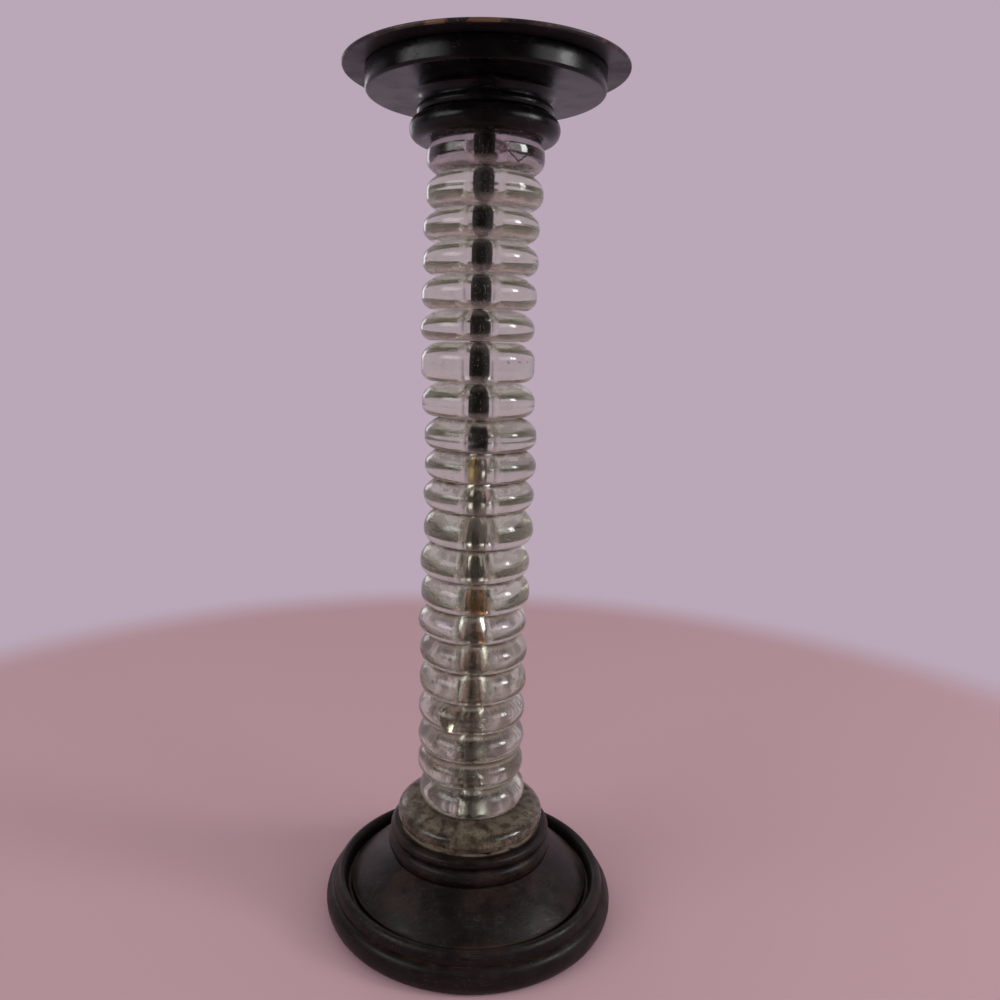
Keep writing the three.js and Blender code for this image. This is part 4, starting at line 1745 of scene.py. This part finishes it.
@dataclass
class TieRod:
    """The rod through the whole stack, with its threads, nuts and washers."""

    diameter: float = 8.0 * MM
    bottom: float = 3.0 * MM
    top: float = 334.0 * MM
    chamfer: float = 0.8 * MM
    thread_length: float = 12.0 * MM
    thread_depth: float = 0.55 * MM
    pitch: float = 1.25 * MM
    thread_steps: int = 28
    across_flats: float = 13.0 * MM
    nut_play: float = 0.3 * MM
    nut_mouth: float = 0.5 * MM
    nut_face: float = 0.985
    nut_chamfer: float = 30.0
    nut_sides: int = 120
    washer_diameter: float = 24.0 * MM
    washer_hole: float = 8.8 * MM
    washer_round: float = 0.5 * MM
    washer_burr: float = 0.15 * MM
    rod_crease: float = 30.0
    thread_crease: float = 40.0
    nut_crease: float = 20.0
    sides: int = 96
    finish: Finish = RodSteel(
        "drawn rod steel",
        stains=(
            Stain((-3.0 * MM, -2.6 * MM, 190.3 * MM), (4.4 * MM, 5.0 * MM, 7.6 * MM), (0.7, 0.5, 0.17, 1.0)),
            Stain((1.8 * MM, -3.6 * MM, 137.5 * MM), (4.2 * MM, 5.0 * MM, 7.2 * MM), (0.5, 0.24, 0.06, 1.0)),
            Stain((2.8 * MM, -3.0 * MM, 125.8 * MM), (3.4 * MM, 5.0 * MM, 7.0 * MM), (0.42, 0.19, 0.06, 1.0)),
        ),
    )
    plated: Finish = PlatedSteel("plated fastener steel")

    def rod(self) -> None:
        """Turns the rod, thinner where its threads are, and grows the threads."""
        radius = self.diameter / 2
        core = radius - self.thread_depth
        tip = radius - self.chamfer
        low = self.bottom + self.thread_length
        high = self.top - self.thread_length
        outline = (
            Outline(0.0, self.bottom)
            .line(tip, self.bottom, 2)
            .line(core, self.bottom + self.chamfer / 2)
            .line(core, low)
            .line(radius, low + self.thread_depth)
            .line(radius, high - self.thread_depth, 60)
            .line(core, high)
            .line(core, self.top - self.chamfer / 2)
            .line(tip, self.top)
            .line(0.0, self.top, 2)
        )
        piece = Workshop.turned("drawn_rod", outline, self.sides)
        Workshop.creased(piece, self.rod_crease)
        Workshop.hand_over(piece, STAND, Slot.STEEL, self.finish, ["tie_rod"])
        tree = NodeTrees.thread()
        for name, start in (("rod_thread_lower", self.bottom), ("rod_thread_upper", high)):
            values = {
                "Radius": core,
                "Ridge": self.thread_depth,
                "Pitch": self.pitch,
                "Length": self.thread_length - 2 * self.pitch,
                "Steps": self.thread_steps,
                "Foot Point": (0.0, 0.0, start + self.pitch),
                "Finish": self.plated.material(),
            }
            thread = Workshop.grown(name, tree, values)
            Workshop.creased(thread, self.thread_crease)
            Workshop.hand_over(thread, STAND, Slot.STEEL)

    def nut(self, node: str) -> None:
        """Builds a hexagon nut whose corners are turned off, in place of its node.

        Args:
            node: The nut's node.
        """
        low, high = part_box(node)
        flat = self.across_flats / 2
        face = flat * self.nut_face
        bore = self.diameter / 2 + self.nut_play
        mouth = self.nut_mouth
        shape = bmesh.new()
        rows: list[list[bmesh.types.BMVert]] = []
        for angle in np.linspace(0.0, 2 * math.pi, self.nut_sides, endpoint=False):
            edge = flat / math.cos((angle % (math.pi / 3)) - math.pi / 6)
            drop = (edge - face) * math.tan(math.radians(self.nut_chamfer))
            section = [(bore, low.z + mouth), (bore + mouth, low.z), (face, low.z), (edge, low.z + drop),
                       (edge, high.z - drop), (face, high.z), (bore + mouth, high.z), (bore, high.z - mouth)]
            rows.append([shape.verts.new((r * math.cos(angle), r * math.sin(angle), z)) for r, z in section])
        for side, row in enumerate(rows):
            following = rows[(side + 1) % self.nut_sides]
            for corner in range(len(row)):
                after = (corner + 1) % len(row)
                shape.faces.new((row[corner], following[corner], following[after], row[after]))
        piece = Workshop.kept("hexagon_" + node, shape)
        Workshop.creased(piece, self.nut_crease)
        Workshop.hand_over(piece, STAND, Slot.STEEL, self.plated, [node])

    def washer(self, node: str) -> None:
        """Turns a stamped washer, rounded on one side, in place of its node.

        Args:
            node: The washer's node.
        """
        low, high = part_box(node)
        hole = self.washer_hole / 2
        edge = self.washer_diameter / 2
        rounding = self.washer_round
        outline = (
            Outline(hole, low.z)
            .line(edge - self.washer_burr, low.z, 4)
            .line(edge, low.z + self.washer_burr)
            .line(edge, high.z - rounding)
            .arc((edge - rounding, high.z - rounding), rounding, rounding, (0.0, 90.0), 5)
            .line(hole + rounding, high.z, 4)
            .arc((hole + rounding, high.z - rounding), rounding, rounding, (90.0, 180.0), 5)
        )
        piece = Workshop.turned("stamped_" + node, outline, self.sides)
        Workshop.creased(piece, self.thread_crease)
        Workshop.hand_over(piece, STAND, Slot.STEEL, self.plated, [node])

    def build(self) -> None:
        """Makes the rod and its fasteners."""
        self.rod()
        for node in ("foot_nut", "pan_nut"):
            self.nut(node)
        for node in ("foot_washer", "pan_washer"):
            self.washer(node)


@dataclass(frozen=True)
class Lamp:
    """A soft lamp: its place round the object in degrees, its width and height, and its watts."""

    name: str
    azimuth: float
    elevation: float
    size: tuple[float, float]
    power: float


@dataclass
class Studio:
    """Floor, light and camera."""

    backdrop: Colour = (0.49, 0.39, 0.48, 1.0)
    cloth: Colour = (0.58, 0.39, 0.42, 1.0)
    overhead: Colour = (0.45, 0.41, 0.41, 1.0)
    room: Colour = (0.05, 0.045, 0.037, 1.0)
    cloth_reach: float = 0.4
    cloth_edge: float = 0.08
    floor_reach: float = 4.0
    floor_sides: int = 96
    floor_roughness: float = 0.9
    floor_specular: float = 0.1
    dark_ahead: tuple[float, float] = (-0.96, -0.82)
    dark_floor: tuple[float, float] = (0.08, 0.2)
    overhead_from: tuple[float, float] = (0.3, 0.8)
    front_up_to: tuple[float, float] = (0.1, 0.5)
    paler_up_to: tuple[float, float] = (0.1, 0.35)
    paler_share: float = 0.55
    lamps: tuple[Lamp, ...] = (
        Lamp("window_left", -60.0, 24.0, (1.2, 0.7), 6.0),
        Lamp("window_right", 64.0, 24.0, (1.1, 0.7), 4.5),
        Lamp("bright_pane_right", 77.0, 22.0, (0.36, 0.44), 4.5),
        Lamp("window_behind_left", -148.0, 12.0, (0.45, 0.6), 1.0),
    )
    lamp_aim: float = 0.17
    lamp_distance: float = 1.25
    lamp_gain: float = 1.5
    lamp_fade: float = 0.3
    bounces: int = 32
    glossy_bounces: int = 24
    focal_pixels: float = 857.3
    frame_pixels: float = 1000.0
    axis_pixel: float = 473.7
    sensor: float = 36.0
    camera_place: tuple[float, float, float] = (0.0, -336.4 * MM, 238.0 * MM)
    pitch: float = 10.54
    roll: float = 1.24
    yaw: float = 0.2
    nearest: float = 0.01

    @staticmethod
    def turned_rays(graph: Graph) -> tuple[Socket, Socket, Socket]:
        """Tells rays apart by what has turned them.

        Args:
            graph: The tree that needs the masks.

        Returns:
            Masks of the camera's own rays, of those that come through glass, and of all that glass or a
            gloss has turned.
        """
        rays = graph.add("ShaderNodeLightPath").outputs
        through = rays["Is Transmission Ray"]
        return rays["Is Camera Ray"], through, graph.math("MAXIMUM", rays["Is Glossy Ray"], through)

    def floor(self) -> None:
        """Lays a round floor that turns into the backdrop further out."""
        shape = bmesh.new()
        bmesh.ops.create_circle(shape, cap_ends=True, radius=self.floor_reach, segments=self.floor_sides)
        mesh = bpy.data.meshes.new("floor")
        shape.to_mesh(mesh)
        shape.free()
        piece = Workshop.placed("floor", mesh)
        material = bpy.data.materials.new("pale floor")
        material.use_nodes = True
        material.node_tree.nodes.clear()
        graph = Graph(material.node_tree)
        x, y, _ = graph.parts(graph.place())
        away = graph.from_axis(x, y)
        far = graph.ramp(away, self.cloth_reach, self.cloth_reach + self.cloth_edge)
        _, _, turned = self.turned_rays(graph)
        ahead = graph.ramp(graph.math("DIVIDE", y, away), *self.dark_ahead, 1.0, 0.0)
        # Painted shade: seen in reflections and through glass, the cloth in front of the object takes the
        # dark room colour, as if in shadow.
        dark = graph.math("MULTIPLY", turned, ahead)
        darker = graph.math("MULTIPLY", dark, graph.ramp(away, *self.dark_floor))
        shaded = graph.mix(darker, self.cloth, self.room)
        feeds = {"Base Color": shaded, "Roughness": self.floor_roughness}
        near = graph.add("ShaderNodeBsdfPrincipled", feeds)
        near.inputs["Specular IOR Level"].default_value = self.floor_specular
        glow = graph.add("ShaderNodeEmission", {"Color": graph.mix(dark, self.backdrop, self.room)})
        both = graph.add("ShaderNodeMixShader", {0: far, 1: near.outputs[0], 2: glow.outputs[0]})
        graph.add("ShaderNodeOutputMaterial", {"Surface": both.outputs[0]})
        mesh.materials.append(material)

    def world(self) -> None:
        """Surrounds the object with a pale backdrop, darker overhead, that mirrors show as a darker room."""
        world = bpy.data.worlds.new("studio")
        world.use_nodes = True
        world.node_tree.nodes.clear()
        graph = Graph(world.node_tree)
        _, y, z = graph.parts(graph.add("ShaderNodeTexCoord").outputs["Generated"])
        seen, through, turned = self.turned_rays(graph)
        surround = graph.mix(graph.ramp(z, *self.overhead_from), self.backdrop, self.overhead)
        paler = graph.math("MULTIPLY", graph.ramp(z, *self.paler_up_to, self.paler_share, 0.0),
                           graph.ramp(y, *self.dark_ahead))
        darkened = graph.math("SUBTRACT", turned, graph.math("MULTIPLY", through, paler))
        front = graph.math("MULTIPLY", darkened, graph.ramp(y, *self.front_up_to, 1.0, 0.0))
        surround = graph.mix(front, surround, self.room)
        colour = graph.mix(seen, surround, self.backdrop)
        light = graph.add("ShaderNodeBackground", {"Color": colour, "Strength": 1.0})
        graph.add("ShaderNodeOutputWorld", {"Surface": light.outputs[0]})
        bpy.context.scene.world = world

    def hang(self, lamp: Lamp) -> None:
        """Hangs a soft lamp that looks at the column's middle; glass doesn't show one behind it.

        Args:
            lamp: The lamp, its azimuth to the right of the camera as seen from the object.
        """
        aim = Vector((0.0, 0.0, self.lamp_aim))
        turn, tilt = math.radians(lamp.azimuth), math.radians(lamp.elevation)
        away = Vector((math.sin(turn) * math.cos(tilt), -math.cos(turn) * math.cos(tilt), math.sin(tilt)))
        light = bpy.data.lights.new(lamp.name, "AREA")
        light.shape = "RECTANGLE"
        light.size, light.size_y = lamp.size
        light.energy = lamp.power
        light.use_nodes = True
        light.node_tree.nodes.clear()
        graph = Graph(light.node_tree)
        across, down, _ = graph.parts(graph.add("ShaderNodeNewGeometry").outputs["Parametric"])
        share: Feed = self.lamp_gain
        for side in (across, down):
            inward = graph.math("SUBTRACT", 0.5, graph.math("ABSOLUTE", graph.math("SUBTRACT", side, 0.5)))
            share = graph.math("MULTIPLY", share, graph.ramp(inward, 0.0, self.lamp_fade))
        glow = graph.add("ShaderNodeEmission", {"Strength": share})
        graph.add("ShaderNodeOutputLight", {"Surface": glow.outputs[0]})
        holder = Workshop.placed(lamp.name, light)
        facing = away.to_track_quat("Z", "Y").to_matrix().to_4x4()
        holder.matrix_world = Matrix.Translation(aim + self.lamp_distance * away) @ facing
        holder.visible_camera = False
        holder.visible_transmission = away.y < 0.0

    def camera(self) -> None:
        """Sets the camera up where the photograph was taken from."""
        pitch, roll, yaw = (math.radians(angle) for angle in (self.pitch, self.roll, self.yaw))
        level = Vector((math.cos(yaw), math.sin(yaw), 0.0))
        ahead = Vector((-math.sin(yaw), math.cos(yaw), 0.0))
        up = Vector((0.0, 0.0, 1.0))
        looking = math.cos(pitch) * ahead - math.sin(pitch) * up
        raised = math.sin(pitch) * ahead + math.cos(pitch) * up
        right = math.cos(roll) * level + math.sin(roll) * raised
        top = math.cos(roll) * raised - math.sin(roll) * level
        place = Matrix((right, top, -looking)).transposed().to_4x4()
        place.translation = Vector(self.camera_place)
        lens = bpy.data.cameras.new("camera")
        lens.sensor_width = self.sensor
        lens.lens = self.sensor * self.focal_pixels / self.frame_pixels
        lens.shift_x = 0.5 - self.axis_pixel / self.frame_pixels
        lens.clip_start = self.nearest
        holder = Workshop.placed("camera", lens)
        holder.matrix_world = place
        bpy.context.scene.camera = holder

    def build(self) -> None:
        """Builds the whole studio."""
        bpy.context.scene.view_settings.view_transform = "Standard"
        self.floor()
        self.world()
        for lamp in self.lamps:
            self.hang(lamp)
        light_paths = bpy.context.scene.cycles
        light_paths.max_bounces = self.bounces
        light_paths.transmission_bounces = self.bounces
        light_paths.transparent_max_bounces = self.glossy_bounces
        light_paths.glossy_bounces = self.glossy_bounces
        self.camera()


def main() -> None:
    """Builds the studio and the object, piece by piece."""
    logging.basicConfig(level=logging.INFO, format="%(name)s: %(message)s")
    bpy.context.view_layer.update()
    Studio().build()
    for assembly in (Foot(), GlassColumn(), Crack(), Bruise(), CandleCup(), DripPan(), TieRod()):
        assembly.build()


if __name__ == "__main__":
    main()
